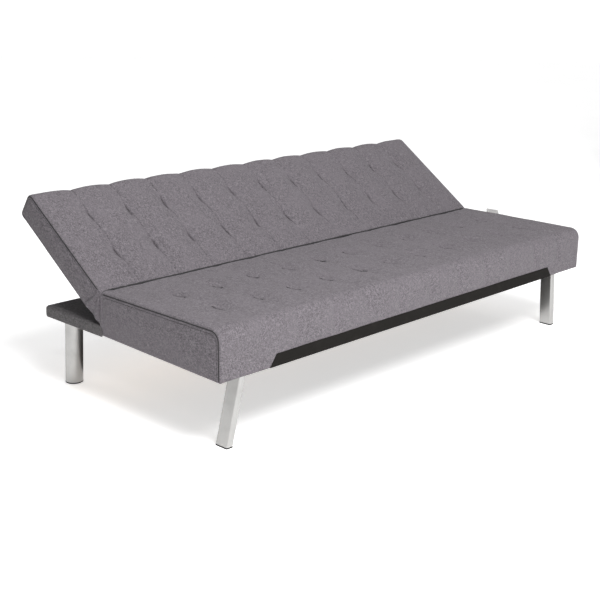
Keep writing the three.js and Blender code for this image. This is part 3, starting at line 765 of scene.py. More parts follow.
@dataclass
class Cushion:
    """A closed, tufted cushion skin, swept across the sofa and capped by its end panels.

    The section is an outline in the cushion's own plane. Its face runs from the crease outward.
    """

    name: str
    tufting: Tufting
    outline: list[tuple[float, float, float]]
    face_start: tuple[float, float]
    spine: tuple[tuple[float, float], tuple[float, float]]
    step: float = 0.0060
    end_round: float = 0.0065
    groove: float = 0.0018
    seam_end: float = 0.645
    joins: int = 14
    stitch_ring: int = 3
    border: tuple[tuple[float, float], ...] = (
        (0.026, 1.3), (0.060, 2.1), (0.105, 2.0), (0.130, 0.5), (0.158, 2.0),
        (0.23, 2.9), (0.34, 3.7), (0.50, 4.4), (0.70, 4.9), (0.88, 5.0), (1.0, 5.0))
    fade: Callable[[np.ndarray], np.ndarray] = lambda along: np.ones_like(along)
    lift: Callable[[np.ndarray, np.ndarray], np.ndarray] = lambda x, along: np.zeros_like(x)
    place: Callable[[float, float, float], tuple[float, float, float]] = lambda x, u, v: (x, u, v)
    wave: float = 0.0013

    def __post_init__(self) -> None:
        """Works out the section, how far each point is along the face, and the stations."""
        self.loop = rounded_loop(self.outline, self.step)
        start = int(np.argmin(np.linalg.norm(self.loop - np.array(self.face_start), axis=1)))
        self.loop = np.roll(self.loop, -start, axis=0)
        self.normals = outward(self.loop)
        gaps = np.linalg.norm(np.roll(self.loop, -1, axis=0) - self.loop, axis=1)
        self.along = np.concatenate([[0], np.cumsum(gaps)[:-1]])
        self.across = stations(self.tufting.half, self.tufting.channels)

    def _end_inset(self, x: np.ndarray, along: np.ndarray) -> np.ndarray:
        """How far the section shrinks near an end, with a groove along the end seam."""
        out = np.abs(x) - (self.tufting.half - self.end_round)
        share = np.clip(out / self.end_round, 0, 1)
        rounded = self.end_round * (1 - np.sqrt(np.clip(1 - share ** 2, 0, 1)))
        sewn = self.groove * np.interp(along, [self.seam_end, self.seam_end + 10 * MM], [1, 0])
        return rounded * 0.62 + sewn * np.clip(1 - (self.tufting.half - np.abs(x)) / (1.4 * MM), 0, 1)

    def skin(self) -> bpy.types.Object:
        """Builds the closed skin.

        Returns:
            The object, with its sections in order of self.across.
        """
        x = np.repeat(self.across[:, None], len(self.loop), axis=1)
        along = np.repeat(self.along[None, :], len(self.across), axis=0)
        fade = self.fade(along)
        rise = self.tufting.height(x, along, fade) + self.lift(x, along)
        rise = rise + self.wave * np.vectorize(self._unevenness)(x, along)
        end = np.clip((self.tufting.half - np.abs(x)) / (20 * MM), 0, 1)
        rise = rise * end * end * (3 - 2 * end) - self._end_inset(x, along)
        u = self.loop[None, :, 0] + self.normals[None, :, 0] * rise
        v = self.loop[None, :, 1] + self.normals[None, :, 1] * rise
        body = np.stack([x, u, v], axis=-1).reshape(-1, 3)
        lines = np.stack([x, along], axis=-1).reshape(-1, 2)
        count = len(self.loop)
        faces = grid_faces(len(self.across), count, closed=True)
        points, marks = [body], [lines]
        for base, side in ((0, -1.0), (len(self.across) - 1, 1.0)):
            rim = body[base * count:(base + 1) * count]
            start = sum(len(p) for p in points)
            rings, ring_lines = self._cap(rim, side)
            points.append(rings)
            marks.append(ring_lines)
            first = [tuple(base * count + k for k in (j, (j + 1) % count)) for j in range(count)]
            faces += [(a, b, start + (j + 1) % count, start + j) for j, (a, b) in enumerate(first)]
            faces += grid_faces(len(self.border), count, closed=True, start=start)
        flat = np.concatenate(points)
        placed = np.array([self.place(*p) for p in flat])
        return make_object(self.name, placed, faces, np.concatenate(marks))

    @staticmethod
    def _unevenness(x: float, along: float) -> float:
        """Slow waves in the stuffing, from -1 to 1."""
        broad = noise.noise(Vector((x * 9.0, along * 11.0, 0.3)))
        fine = noise.noise(Vector((x * 31.0, along * 27.0, 4.0)))
        return broad + 0.4 * fine

    def _cap(self, rim: np.ndarray, side: float) -> tuple[np.ndarray, np.ndarray]:
        """Rings of points that close one end, shrinking to a line along the end panel's middle."""
        first, last = (np.array(end) for end in self.spine)
        reach = last - first
        share = np.clip(((rim[:, 1:] - first) @ reach) / (reach @ reach), 0, 1)
        target = first + share[:, None] * reach
        closed = first + np.round(share * self.joins)[:, None] / self.joins * reach
        rings = []
        for share_in, out in self.border:
            flat = rim[:, 1:] * (1 - share_in) + (target if share_in < 1 else closed) * share_in
            level = np.interp(self.along, [self.seam_end, self.seam_end + 20 * MM], [out, max(out, 2.0)])
            depth = side * level[:, None] * MM
            rings.append(np.concatenate([rim[:, :1] + depth, flat], axis=1))
        made = np.concatenate(rings)
        return made, made[:, 1:].copy()

    def sample(self, values: np.ndarray, x: np.ndarray, along: np.ndarray) -> np.ndarray:
        """Reads something kept at each point of the skin, between its points.

        Args:
            values: one row for each point of the swept part of the skin.
            x: places across the sofa.
            along: places along the face.

        Returns:
            One row for each place.
        """
        table = values.reshape(len(self.across), len(self.loop), -1)
        i = np.clip(np.searchsorted(self.across, x) - 1, 0, len(self.across) - 2)
        j = np.clip(np.searchsorted(self.along, along) - 1, 0, len(self.along) - 2)
        s = ((x - self.across[i]) / (self.across[i + 1] - self.across[i]))[:, None]
        t = ((along - self.along[j]) / (self.along[j + 1] - self.along[j]))[:, None]
        near = table[i, j] * (1 - s) + table[i + 1, j] * s
        far = table[i, j + 1] * (1 - s) + table[i + 1, j + 1] * s
        return near * (1 - t) + far * t

    def rim_line(self, side: float, ring: int, first: float, last: float) -> np.ndarray:
        """Vertex numbers along an end seam, or along one ring of the end panel inside it.

        Args:
            side: which end, -1 or 1.
            ring: -1 for the seam itself, or a ring of the end panel.
            first: where along the face the line starts.
            last: where it stops.

        Returns:
            The vertex numbers in order.
        """
        count = len(self.loop)
        body = len(self.across) * count
        if ring < 0:
            start = 0 if side < 0 else body - count
        else:
            start = body + (0 if side < 0 else len(self.border) * count) + ring * count
        return start + np.where((self.along >= first) & (self.along <= last))[0]


@dataclass
class Stitching:
    """A row of short stitches laid along a line on a surface."""

    length: float = 0.0042
    pitch: float = 0.0052
    radius: float = 0.0008
    sides: int = 6

    def row(self, line: np.ndarray, up: Callable[[np.ndarray], np.ndarray]) -> tuple[np.ndarray, list]:
        """Makes the stitches of one line.

        Args:
            line: points along the line.
            up: the surface's outward direction at a point.

        Returns:
            The vertices and faces of all the stitches.
        """
        places = np.concatenate([[0], np.cumsum(np.linalg.norm(np.diff(line, axis=0), axis=1))])
        points, faces = [], []
        for middle in np.arange(self.pitch, places[-1] - self.pitch, self.pitch):
            centre = np.array([np.interp(middle, places, line[:, k]) for k in range(3)])
            ahead = np.array([np.interp(middle + self.pitch / 2, places, line[:, k]) for k in range(3)])
            along = ahead - centre
            along /= np.linalg.norm(along)
            lift = up(centre)
            lift = lift - along * (lift @ along)
            lift /= np.linalg.norm(lift)
            side = np.cross(along, lift)
            start = sum(len(p) for p in points)
            points.append(self._stitch(centre, along, lift, side))
            faces += tube_faces(4, self.sides, start)
        return np.concatenate(points), faces

    def _stitch(self, centre: np.ndarray, along: np.ndarray, lift: np.ndarray,
                side: np.ndarray) -> np.ndarray:
        """The four rings of one stitch, which dips into the cloth at both ends."""
        rings = []
        levels = ((-0.5, 0.45, -0.5), (-0.25, 1.0, 0.35), (0.25, 1.0, 0.35), (0.5, 0.45, -0.5))
        for place, width, height in levels:
            for k in range(self.sides):
                angle = 2 * math.pi * k / self.sides
                offset = side * math.cos(angle) + lift * math.sin(angle)
                rings.append(centre + along * place * self.length + lift * height * self.radius
                             + offset * self.radius * width)
        return np.array(rings)


def joined(name: str, rows: Sequence[tuple[np.ndarray, list]]) -> bpy.types.Object:
    """Joins several sets of vertices and faces into one object."""
    points, faces = [], []
    for row_points, row_faces in rows:
        start = sum(len(p) for p in points)
        points.append(row_points)
        faces += [tuple(start + v for v in face) for face in row_faces]
    return make_object(name, np.concatenate(points), faces)


@dataclass
class Settling:
    """A short cloth simulation that lets a skin find its own folds round the tufts."""

    frames: int = 20
    pressure: float = 4.0
    slack: float = -0.02
    reach: float = 0.007

    def settle(self, thing: bpy.types.Object, held: np.ndarray) -> None:
        """Runs the simulation and applies it, capped so that no point moves far.

        Args:
            thing: the closed skin.
            held: from 0, free, to 1, sewn down, for each vertex.
        """
        rest = points_of(thing)
        group = thing.vertex_groups.new(name="held")
        levels = np.round(np.clip(held, 0, 1) * 20) / 20
        for level in np.unique(levels):
            group.add([int(i) for i in np.where(levels == level)[0]], float(level), "REPLACE")
        cloth = thing.modifiers.new("cloth", "CLOTH")
        settings = cloth.settings
        settings.quality = 4
        settings.mass = 0.35
        settings.tension_stiffness = 12
        settings.compression_stiffness = 9
        settings.bending_stiffness = 0.35
        settings.air_damping = 2.0
        settings.use_pressure = True
        settings.uniform_pressure_force = self.pressure
        settings.shrink_min = self.slack
        settings.vertex_group_mass = "held"
        settings.pin_stiffness = 4.0
        settings.effector_weights.gravity = 0.0
        cloth.collision_settings.use_collision = False
        scene = bpy.context.scene
        cloth.point_cache.frame_end = self.frames + 1
        for number in range(1, self.frames + 1):
            scene.frame_set(number)
        graph = bpy.context.evaluated_depsgraph_get()
        moved = points_of(thing.evaluated_get(graph))
        thing.modifiers.clear()
        thing.vertex_groups.clear()
        scene.frame_set(1)
        step = moved - rest
        size = np.linalg.norm(step, axis=1, keepdims=True)
        capped = self.reach * np.tanh(size / self.reach)
        set_points(thing, rest + step * capped / np.maximum(size, 1e-9))


def through(points: Sequence[tuple[float, float]]) -> Callable[[np.ndarray], np.ndarray]:
    """A level along a face that runs straight between (place, level) points."""
    places, levels = zip(*points)
    return lambda along: np.interp(along, places, levels)


# ---------------------------------------------------------------------------------------------
# Sub-assemblies
# ---------------------------------------------------------------------------------------------


@dataclass
class SeatCushion:
    """The wide tufted seat, its fabric hanging as a skirt round the rails."""

    layout: Layout
    crease_radius: float = 15 * MM
    nose_radius: float = 34 * MM
    skirt: float = 12.5 * MM
    skirt_top: float = 0.267
    rows: tuple[float, float] = (0.172, 0.346)
    seam_end: float = 0.645
    thread: float = 2.4 * MM
    # radius of the dark cord that paints shade along the crease
    cord: float = 4.0 * MM
    pull: float = 5.2 * MM
    pull_width: float = 17 * MM
    settling: Settling = field(default_factory=Settling)

    def cushion(self) -> Cushion:
        """Sets out the seat's section and tufting."""
        place = self.layout
        rear = place.crease_y + 0.5 * MM
        rear_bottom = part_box("ledge_cover")[0].z + 1 * MM
        outline = [
            (rear, place.seat_top, self.crease_radius),
            (place.front, place.seat_top, self.nose_radius),
            (place.front, place.seat_bottom, 4 * MM),
            (rear, rear_bottom, 4 * MM),
        ]
        half = place.half - END_DROP
        tufting = Tufting(half, self.rows, seed=11, puff=5.2 * MM, puff_far=2.0 * MM, dimple=7.2 * MM,
                          slit=9.0 * MM, seam=0.7 * MM, slants=(0.02, 0.38))
        fade = through([(0, 0.7), (0.03, 0.9), (0.06, 1), (0.475, 1), (0.515, 0.6), (0.54, 0.4),
                        (0.58, 0.2), (0.60, 0), (1.3, 0)])
        spine = ((rear - 60 * MM, 0.296), (place.front + 62 * MM, 0.291))
        return Cushion("seat_cushion", tufting, outline, (rear, place.seat_top), spine,
                       fade=fade, lift=self.pulls)

    def pulls(self, x: np.ndarray, along: np.ndarray) -> np.ndarray:
        """Pulls down the front face, the crown of the seat, and its rear corners filled out."""
        half = self.layout.half - END_DROP
        pitch = 2 * half / CHANNELS
        spot = x / pitch
        near = np.abs(spot - np.round(spot)) * pitch
        front = np.interp(along, [0.48, 0.54, 0.59, 0.605], [0, 1, 0.7, 0])
        inner = np.abs(np.round(spot)) < CHANNELS / 2 - 0.5
        outer = np.interp(np.abs(x), [half - 35 * MM, half - 9 * MM], [0, 1])
        closed = 6.0 * MM * outer * np.exp(-((along / (13 * MM)) ** 2))
        pull = -self.pull * np.exp(-((near / self.pull_width) ** 2)) * front * inner
        crown = 2.0 * MM * np.interp(along, [0, 0.1, 0.4, 0.5], [0, 1, 1, 0])
        belly = 1.5 * MM * np.interp(along, [0.52, 0.56, 0.58, 0.60], [0, 1, 0.8, 0])
        return pull + crown + belly + closed

    def crease_shade_cord(self) -> Piece:
        """A dark cord laid in the crease as painted shade where the two cushions meet, wandering a little
        between them.
        """
        place = self.layout
        reach = place.half - END_DROP - 6 * MM
        x = np.linspace(-reach, reach, 420)
        slow = np.array([noise.noise(Vector((v * 9, 2.0, 0.0))) for v in x])
        quick = np.array([noise.noise(Vector((v * 60, 5.0, 0.0))) for v in x])
        wander = slow + 0.6 * quick
        depth = 2.5 * MM + 5.0 * MM * np.interp(np.abs(x), [reach - 20 * MM, reach], [0, 1])
        y, z = place.crease_y + 1.5 * MM * wander, place.seat_top - depth + 1.3 * MM * wander
        line = np.column_stack([x, y, z])
        points, faces = tube(line, self.cord, 10)
        # painted shade: a dark tube along the bottom of the crease
        cord = make_object("crease_shade_cord", points, faces)
        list(place.blend_span())
        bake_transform(cord)
        return Piece(cord, Finish.SEAM, "upholstery").dress()

    def build(self) -> list[Piece]:
        """Builds the seat's skin, its topstitching and the dark cord of painted shade in the crease."""
        cushion = self.cushion()
        skin = cushion.skin()
        self.settling.settle(skin, held_down(cushion, skin, 0.02, 0.60))
        seams = end_seams(cushion, skin, "seat", SEAM_START, self.seam_end, self.layout)
        seams.append(tuft_threads(cushion, skin, "seat_tuft_threads", self.layout, self.thread))
        seams.append(self.crease_shade_cord())
        place = self.layout
        low = (-place.half + self.skirt, place.front + 5 * MM, 0.1)
        high = (place.half - self.skirt, place.crease_y + 30 * MM, self.skirt_top)
        carve(skin, [(low, high)])
        clean(skin, 0.02 * MM)
        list(place.blend_span())
        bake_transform(skin)
        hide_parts("seat_cover", "seat_foam")
        return [Piece(skin, Finish.UPHOLSTERY, "upholstery").dress(), *seams]


def held_down(cushion: Cushion, skin: bpy.types.Object, first: float, last: float) -> np.ndarray:
    """How firmly each point of a cushion is sewn or stapled down, from 0 to 1.

    Args:
        cushion: the cushion the skin was made from.
        skin: its skin.
        first: where along the face the cloth starts to be free.
        last: where along the face it stops being free.

    Returns:
        One level for each vertex.
    """
    count = len(skin.data.vertices)
    held = np.ones(count)
    x = np.repeat(cushion.across, len(cushion.loop))
    along = np.tile(cushion.along, len(cushion.across))
    free = np.interp(along, [first, first + 0.03, last - 0.04, last], [0, 1, 1, 0])
    end = np.clip((cushion.tufting.half - 8 * MM - np.abs(x)) / (30 * MM), 0, 1)
    free = free * end
    for tuft in cushion.tufting.tufts:
        far = ((x - tuft.x) / (9 * MM)) ** 2 + ((along - tuft.along) / (26 * MM)) ** 2
        free = free * (1 - np.exp(-far))
    held[:len(x)] = 1 - free
    return held


def end_seams(cushion: Cushion, skin: bpy.types.Object, name: str, first: float, last: float,
              place: Layout) -> list[Piece]:
    """The cord of each end seam of a cushion, and the topstitching beside it on the end panel.

    Args:
        cushion: the cushion.
        skin: its finished skin.
        name: what the new pieces' names start with.
        first: where along the face the seams start.
        last: where they stop.
        place: where things are.

    Returns:
        The dressed pieces.
    """
    rows, cords = [], []
    sewer = Stitching(radius=1.0 * MM)
    points = points_of(skin)
    normals = np.array([v.normal for v in skin.data.vertices])
    for _, side in SIDES:
        inner = cushion.rim_line(side, cushion.stitch_ring, first + STITCH_INSET, last)
        rows.append(sewer.row(points[inner], nearest_normal(points[inner], normals[inner])))
        seam = cushion.rim_line(side, -1, first, last)
        cords.append(tube(points[seam] + normals[seam] * 0.5 * MM, 1.8 * MM))
    made = joined(f"{name}_topstitch", rows)
    cord = joined(f"{name}_seam", cords)
    for thing in (made, cord):
        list(place.blend_span())
        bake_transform(thing)
    return [Piece(made, Finish.STITCH, "upholstery").dress(), Piece(cord, Finish.SEAM, "upholstery").dress()]


def tuft_threads(cushion: Cushion, skin: bpy.types.Object, name: str, place: Layout, thick: float) -> Piece:
    """The dark thread pulled down into each tuft.

    Args:
        cushion: the cushion.
        skin: its finished skin.
        name: the new piece's name.
        place: where things are.
        thick: the thread's radius.

    Returns:
        The dressed piece.
    """
    count = len(cushion.across) * len(cushion.loop)
    points = points_of(skin)[:count]
    normals = np.array([v.normal for v in skin.data.vertices])[:count]
    rows = []
    for tuft in cushion.tufting.tufts:
        along = np.linspace(-0.92, 0.92, 13) * tuft.length
        x = tuft.x + tuft.slant * along + tuft.curl * along ** 2
        line = cushion.sample(points, x, tuft.along + along)
        lift = cushion.sample(normals, x, tuft.along + along)
        rise = cushion.tufting.slit * tuft.depth * (1 - (along / tuft.length) ** 2)[:, None]
        taper = 0.35 + 0.65 * np.cos(along / tuft.length * math.pi / 2)
        rows.append(tube(line + lift * (0.75 * rise - 0.3 * MM), thick * taper, 6))
    made = joined(name, rows)
    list(place.blend_span())
    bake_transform(made)
    return Piece(made, Finish.SEAM, "upholstery").dress()


def tube(line: np.ndarray, radius: Union[float, np.ndarray], sides: int = 8) -> tuple[np.ndarray, list]:
    """A round tube along a line, as vertices and faces, closed at both ends."""
    radii = np.broadcast_to(radius, len(line))
    ahead = np.gradient(line, axis=0)
    ahead /= np.linalg.norm(ahead, axis=1, keepdims=True)
    sideways = [0.0, 1.0, 0.0] if abs(line[-1, 0] - line[0, 0]) > 0.1 else [1.0, 0.0, 0.0]
    across = np.cross(ahead, np.array(sideways))
    across /= np.linalg.norm(across, axis=1, keepdims=True)
    up = np.cross(across, ahead)
    rings = []
    for index, point in enumerate(line):
        size = radii[index] * (0.35 if index in (0, len(line) - 1) else 1.0)
        for k in range(sides):
            angle = 2 * math.pi * k / sides
            rings.append(point + (across[index] * math.cos(angle) + up[index] * math.sin(angle)) * size)
    return np.array(rings), tube_faces(len(line), sides)


def nearest_normal(line: np.ndarray, normals: np.ndarray) -> Callable[[np.ndarray], np.ndarray]:
    """Looks up the surface's outward direction at the closest point of a line."""
    return lambda point: normals[int(np.argmin(np.linalg.norm(line - point, axis=1)))]


@dataclass
class BackCushion:
    """The tufted back, drawn along its own face and then leant."""

    layout: Layout
    length: float = 0.424
    thick: float = 0.094
    start: float = 0.6 * MM
    heel: float = 30 * MM
    crease_radius: float = 15 * MM
    rows: tuple[float, float] = (0.137, 0.290)
    seam_end: float = 0.535
    thread: float = 1.5 * MM
    scallop: float = 3.2 * MM
    settling: Settling = field(default_factory=Settling)

    def cushion(self) -> Cushion:
        """Sets out the back's section and tufting."""
        outline = [
            (self.start, 0.0, self.crease_radius),
            (self.length, 0.0, 22 * MM),
            (self.length, -self.thick, 15 * MM),
            (self.heel, -self.thick, 11 * MM),
            (-13.0 * MM, -17.7 * MM, 6 * MM),
        ]
        half = self.layout.half - END_DROP
        tufting = Tufting(half, self.rows, seed=29, puff=6.2 * MM, puff_far=3.4 * MM, dimple=9.2 * MM,
                          slit=13.5 * MM, seam=4.4 * MM)
        fade = through([(0, 0.7), (0.03, 0.9), (0.06, 1), (0.39, 1), (0.425, 0.9), (0.45, 0.55),
                        (0.48, 0.1), (0.50, 0), (1.2, 0)])
        spine = ((0.075, -0.048), (self.length - 48 * MM, -0.047))
        return Cushion("back_cushion", tufting, outline, (self.start, 0.0), spine,
                       fade=fade, lift=self.scallops, place=self.layout.on_back)

    def scallops(self, x: np.ndarray, along: np.ndarray) -> np.ndarray:
        """The top edge drawn in at each channel seam, and the crown of the face."""
        pitch = 2 * (self.layout.half - END_DROP) / CHANNELS
        spot = x / pitch
        near = np.abs(spot - np.round(spot)) * 2
        inner = np.abs(np.round(spot)) < CHANNELS / 2 - 0.5
        arch = 1 - (1 - near) ** 2.1
        top = np.interp(along, [0.36, 0.41, 0.46, 0.50, 0.53], [0, 0.9, 1, 0.5, 0])
        drawn = -self.scallop * (1 - arch) * top * inner
        crown = 3.0 * MM * np.interp(along, [0, 0.08, 0.36, 0.42], [0, 1, 1, 0])
        behind = 1.5 * MM * np.interp(along, [0.53, 0.60, 0.85, 0.90], [0, 1, 1, 0])
        return drawn + crown + behind

    def build(self) -> list[Piece]:
        """Builds the back's skin and its topstitching."""
        cushion = self.cushion()
        skin = cushion.skin()
        self.settling.settle(skin, held_down(cushion, skin, 0.02, 0.46))
        seams = end_seams(cushion, skin, "back", SEAM_START, self.seam_end, self.layout)
        seams.append(tuft_threads(cushion, skin, "back_tuft_threads", self.layout, self.thread))
        clean(skin, 0.02 * MM)
        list(self.layout.blend_span())
        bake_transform(skin)
        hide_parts("back_cover", "back_foam")
        return [Piece(skin, Finish.UPHOLSTERY, "upholstery").dress(), *seams]


@dataclass
class EndGusset:
    """The pleated web of cloth that closes the wedge between seat and back at one end."""

    layout: Layout
    side: float
    name: str
    inset: float = 0.6 * MM
    thick: float = 0.9 * MM
    rows: int = 26
    columns: int = 44
    pleats: int = 3
    low_edge: float = 0.2400
    hem: float = 3.0 * MM
    heel_marks: tuple[tuple[float, float], ...] = ((4, -6), (9, -26), (17, -47), (25, -66), (31, -83))

    def _edges(self) -> tuple[np.ndarray, np.ndarray]:
        """The two sewn edges, down the back of the seat and down the heel of the back."""
        place = self.layout
        top = np.array([place.crease_y - 7 * MM, place.seat_top - 9 * MM])
        low = np.array([place.crease_y - 22 * MM, self.low_edge])
        share = np.linspace(0, 1, self.rows)[:, None]
        seat = top * (1 - share) + low * share
        seat[:, 0] -= 5 * MM * np.sin(share[:, 0] * math.pi)
        count = len(self.heel_marks)
        steps = np.linspace(0, count - 1, self.rows)
        along, up = (np.interp(steps, range(count), mark) for mark in zip(*self.heel_marks))
        heel = np.array([place.on_back(0, a * MM, b * MM)[1:] for a, b in zip(along, up)])
        return seat, heel

    def build(self) -> Piece:
        """Builds the web, its pleats running out from the crease, and its rolled hem."""
        seat, heel = self._edges()
        points, lines = [], []
        for row in range(self.rows):
            down = row / (self.rows - 1)
            for column in range(self.columns):
                share = column / (self.columns - 1)
                flat = seat[row] * (1 - share) + heel[row] * share
                sag = 2 * MM * down ** 2 * math.sin(share * math.pi)
                points.append((self._out(share, down), flat[0] - sag * 0.35, flat[1] + sag))
                lines.append((share * 0.08, down * 0.1))
        faces = grid_faces(self.rows, self.columns)
        made = make_object(f"{self.name}_web", np.array(points), faces, np.array(lines))
        self._roll_hem(made)
        thicken(made, self.thick)
        clean(made, 0.01 * MM)
        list(self.layout.blend_span())
        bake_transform(made)
        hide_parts(self.name)
        return Piece(made, Finish.UPHOLSTERY, "upholstery").dress()

    def _out(self, share: float, down: float) -> float:
        """How far out the web lies: pleated between its sewn edges, folded at the heel, sunk at the seat.

        Args:
            share: from 0 at the seat to 1 at the heel of the back.
            down: from 0 at the crease to 1 at the hem.

        Returns:
            The place across the sofa.
        """
        tuck = math.sin(share * math.pi)
        drawn = 0.25 + 0.75 * math.sin(down * math.pi * 0.86)
        wave = math.sin(share * math.pi * 2 * self.pleats + 1.3 * down) * drawn * tuck
        crumple = noise.noise(Vector((share * 5, down * 4, self.side * 3))) * 1.6 * MM * tuck
        ridge = 2.4 * MM * math.exp(-(((share - 0.92) / 0.055) ** 2))
        fold = ridge - 1.2 * MM * max(0.0, share - 0.96) / 0.04
        sunk = 2.9 * MM * math.exp(-((share / 0.13) ** 2))
        border = self.layout.half - self.inset + fold - sunk
        return self.side * (border - (4.0 * wave + 3.4) * MM * tuck - crumple)

    def _roll_hem(self, made: bpy.types.Object) -> None:
        """Turns the free lower edge under in a small roll."""
        shape = bmesh.new()
        shape.from_mesh(made.data)
        shape.verts.ensure_lookup_table()
        lower = [shape.verts[(self.rows - 1) * self.columns + c] for c in range(self.columns)]
        ring = lower
        for angle in (50, 105, 160, 215, 270):
            turn = math.radians(angle)
            fresh = []
            for vertex, base in zip(ring, lower):
                inward = -self.side * self.hem * (1 - math.cos(turn))
                down = -self.hem * math.sin(turn)
                fresh.append(shape.verts.new(base.co + Vector((inward, -down * 0.45, down * 0.9))))
            for k in range(self.columns - 1):
                shape.faces.new((ring[k], ring[k + 1], fresh[k + 1], fresh[k]))
            ring = fresh
        bmesh.ops.recalc_face_normals(shape, faces=shape.faces)
        shape.to_mesh(made.data)
        shape.free()


@dataclass
class Ledge:
    """The low shelf behind the back: a board and rails wrapped in grey cloth, coloured darker than the seat
    as painted shade.
    """

    corner: float = 16 * MM
    edge: float = 7 * MM
    skin: float = 1.6 * MM
    step: float = 9 * MM
    slack: float = 0.5 * MM
    join: float = 20 * MM
    spine_end: float = 130 * MM
    lining: float = 4.6 * MM

    def build(self) -> Piece:
        """Builds the wrapped tray, hollow underneath so that the rails sit in it."""
        low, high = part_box("ledge_cover")
        corners = [(low.x, low.y, 1 * MM), (high.x, low.y, 1 * MM),
                   (high.x, high.y, self.corner), (low.x, high.y, self.corner)]
        loop = rounded_loop(corners, self.step)
        normals = outward(loop)
        levels = self._levels(low.z, high.z)
        middle = (low.y + high.y) / 2
        closing = np.clip(loop[:, 0], low.x + self.spine_end, high.x - self.spine_end)
        closing = np.round(closing / self.join) * self.join
        spine = np.stack([closing, np.full(len(loop), middle)], axis=1)
        rings, lines = [], []
        for inset, height, shrink in levels:
            ring = (loop - normals * inset) * (1 - shrink) + spine * shrink
            spots = [Vector((x * 7, y * 16, height * 30)) for x, y in ring]
            slack = self.slack * np.array([noise.noise(spot) for spot in spots])
            rise = slack * (1 if shrink > 0 else 0)
            spread = normals * slack[:, None] * (0 if shrink > 0 else 1)
            rings.append(np.column_stack([ring + spread, np.full(len(ring), height) + rise]))
            lines.append(np.column_stack([ring[:, 0], ring[:, 1] + height]))
        points = np.concatenate(rings)
        faces = grid_faces(len(levels), len(loop), closed=True)
        made = make_object("ledge_wrap", points, faces, np.concatenate(lines))
        clean(made, 0.05 * MM)
        margin = 5 * MM
        carve(made, [((low.x + margin, low.y - 2 * margin, low.z - margin),
                      (high.x - margin, low.y + 19.5 * MM, high.z + margin))])
        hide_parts("ledge_cover")
        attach(made, "base")
        return Piece(made, Finish.SHADED_LEDGE, "ledge_fabric").dress()

    def _levels(self, bottom: float, top: float) -> list[tuple[float, float, float]]:
        """Each ring's inset, height and how far it has closed in, from the inside up round to the top."""
        inner = top - self.skin
        shrinks = [0.0, 0.08, 0.2, 0.35, 0.5, 0.65, 0.8, 0.92, 1.0]
        levels = [(self.lining, inner, s) for s in reversed(shrinks)]
        levels += [(self.lining, bottom + 1.5 * MM, 0.0), (3.6 * MM, bottom, 0.0), (1.2 * MM, bottom, 0.0)]
        levels += [(0.0, bottom + 1.4 * MM, 0.0)]
        for share in np.linspace(0.15, 0.85, 5):
            belly = -0.6 * MM * math.sin(share * math.pi)
            levels.append((belly, bottom + (top - self.edge - bottom) * share, 0.0))
        for angle in (0, 22, 45, 68, 90):
            turn = math.radians(angle)
            levels.append((self.edge * (1 - math.cos(turn)), top - self.edge * (1 - math.sin(turn)), 0.0))
        levels += [(self.edge, top, s) for s in shrinks[1:]]
        return levels


@dataclass
class FrontStrip:
    """The dark strip along the bottom of the seat's front, with slanted ends."""

    proud: float = 1.8 * MM
    edge: float = 0.9 * MM
    spread: float = 25 * MM

    def build(self) -> Piece:
        """Builds the strip as one bar with softened edges."""
        low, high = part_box("front_strip")
        front, rear = low.y - self.proud, high.y - 0.6 * MM
        section = rounded_loop([(front, low.z, self.edge), (rear, low.z, 0.2 * MM),
                                (rear, high.z, 0.2 * MM), (front, high.z, self.edge)], 1.1 * MM)
        share = (section[:, 1] - low.z) / (high.z - low.z)
        half = high.x - self.spread * share
        rings = []
        stops = [-1.0] + list(np.linspace(-0.9985, 0.9985, 40)) + [1.0]
        centre = section.mean(axis=0)
        for stop in stops:
            ring = section if abs(stop) < 1 else centre + (section - centre) * 0.96
            rings.append(np.column_stack([half * stop, ring]))
        made = make_object("front_strip_trim", np.concatenate(rings), tube_faces(len(stops), len(section)))
        crease_edges(made, 50)
        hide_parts("front_strip")
        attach(made, "base")
        return Piece(made, Finish.STRIP, "front_strip").dress()


@dataclass
class CareLabel:
    """The blank folded tape caught in the right-hand end seam."""

    rise: float = 15 * MM
    tuck: float = 4 * MM
    gap: float = 0.7 * MM
    thick: float = 0.35 * MM

    def build(self) -> Piece:
        """Builds the tape, folded double over its top."""
        low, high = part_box("care_label")
        middle = (low.x + high.x) / 2
        profile = [(-self.gap, -self.tuck), (-self.gap, 0), (-self.gap * 1.1, self.rise * 0.4),
                   (-self.gap, self.rise * 0.85)]
        profile += [(-self.gap * 0.6, self.rise * 0.97), (0, self.rise), (self.gap * 0.6, self.rise * 0.97)]
        profile += [(-x, z) for x, z in reversed(profile[:4])]
        points, lines = [], []
        columns = 18
        for x, z in profile:
            for column in range(columns):
                share = column / (columns - 1)
                y = low.y + (high.y - low.y) * share
                bend = 2.2 * MM * (z / self.rise) ** 2 * math.sin(share * 2.6 + 0.5)
                points.append((middle + x - bend, y, low.z + z + 0.4 * MM * math.sin(share * 5)))
                lines.append((y, z))
        made = make_object("care_tag", np.array(points), grid_faces(len(profile), columns), np.array(lines))
        thicken(made, self.thick)
        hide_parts("care_label")
        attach(made, "base")
        return Piece(made, Finish.TAPE, "label_tape").dress()


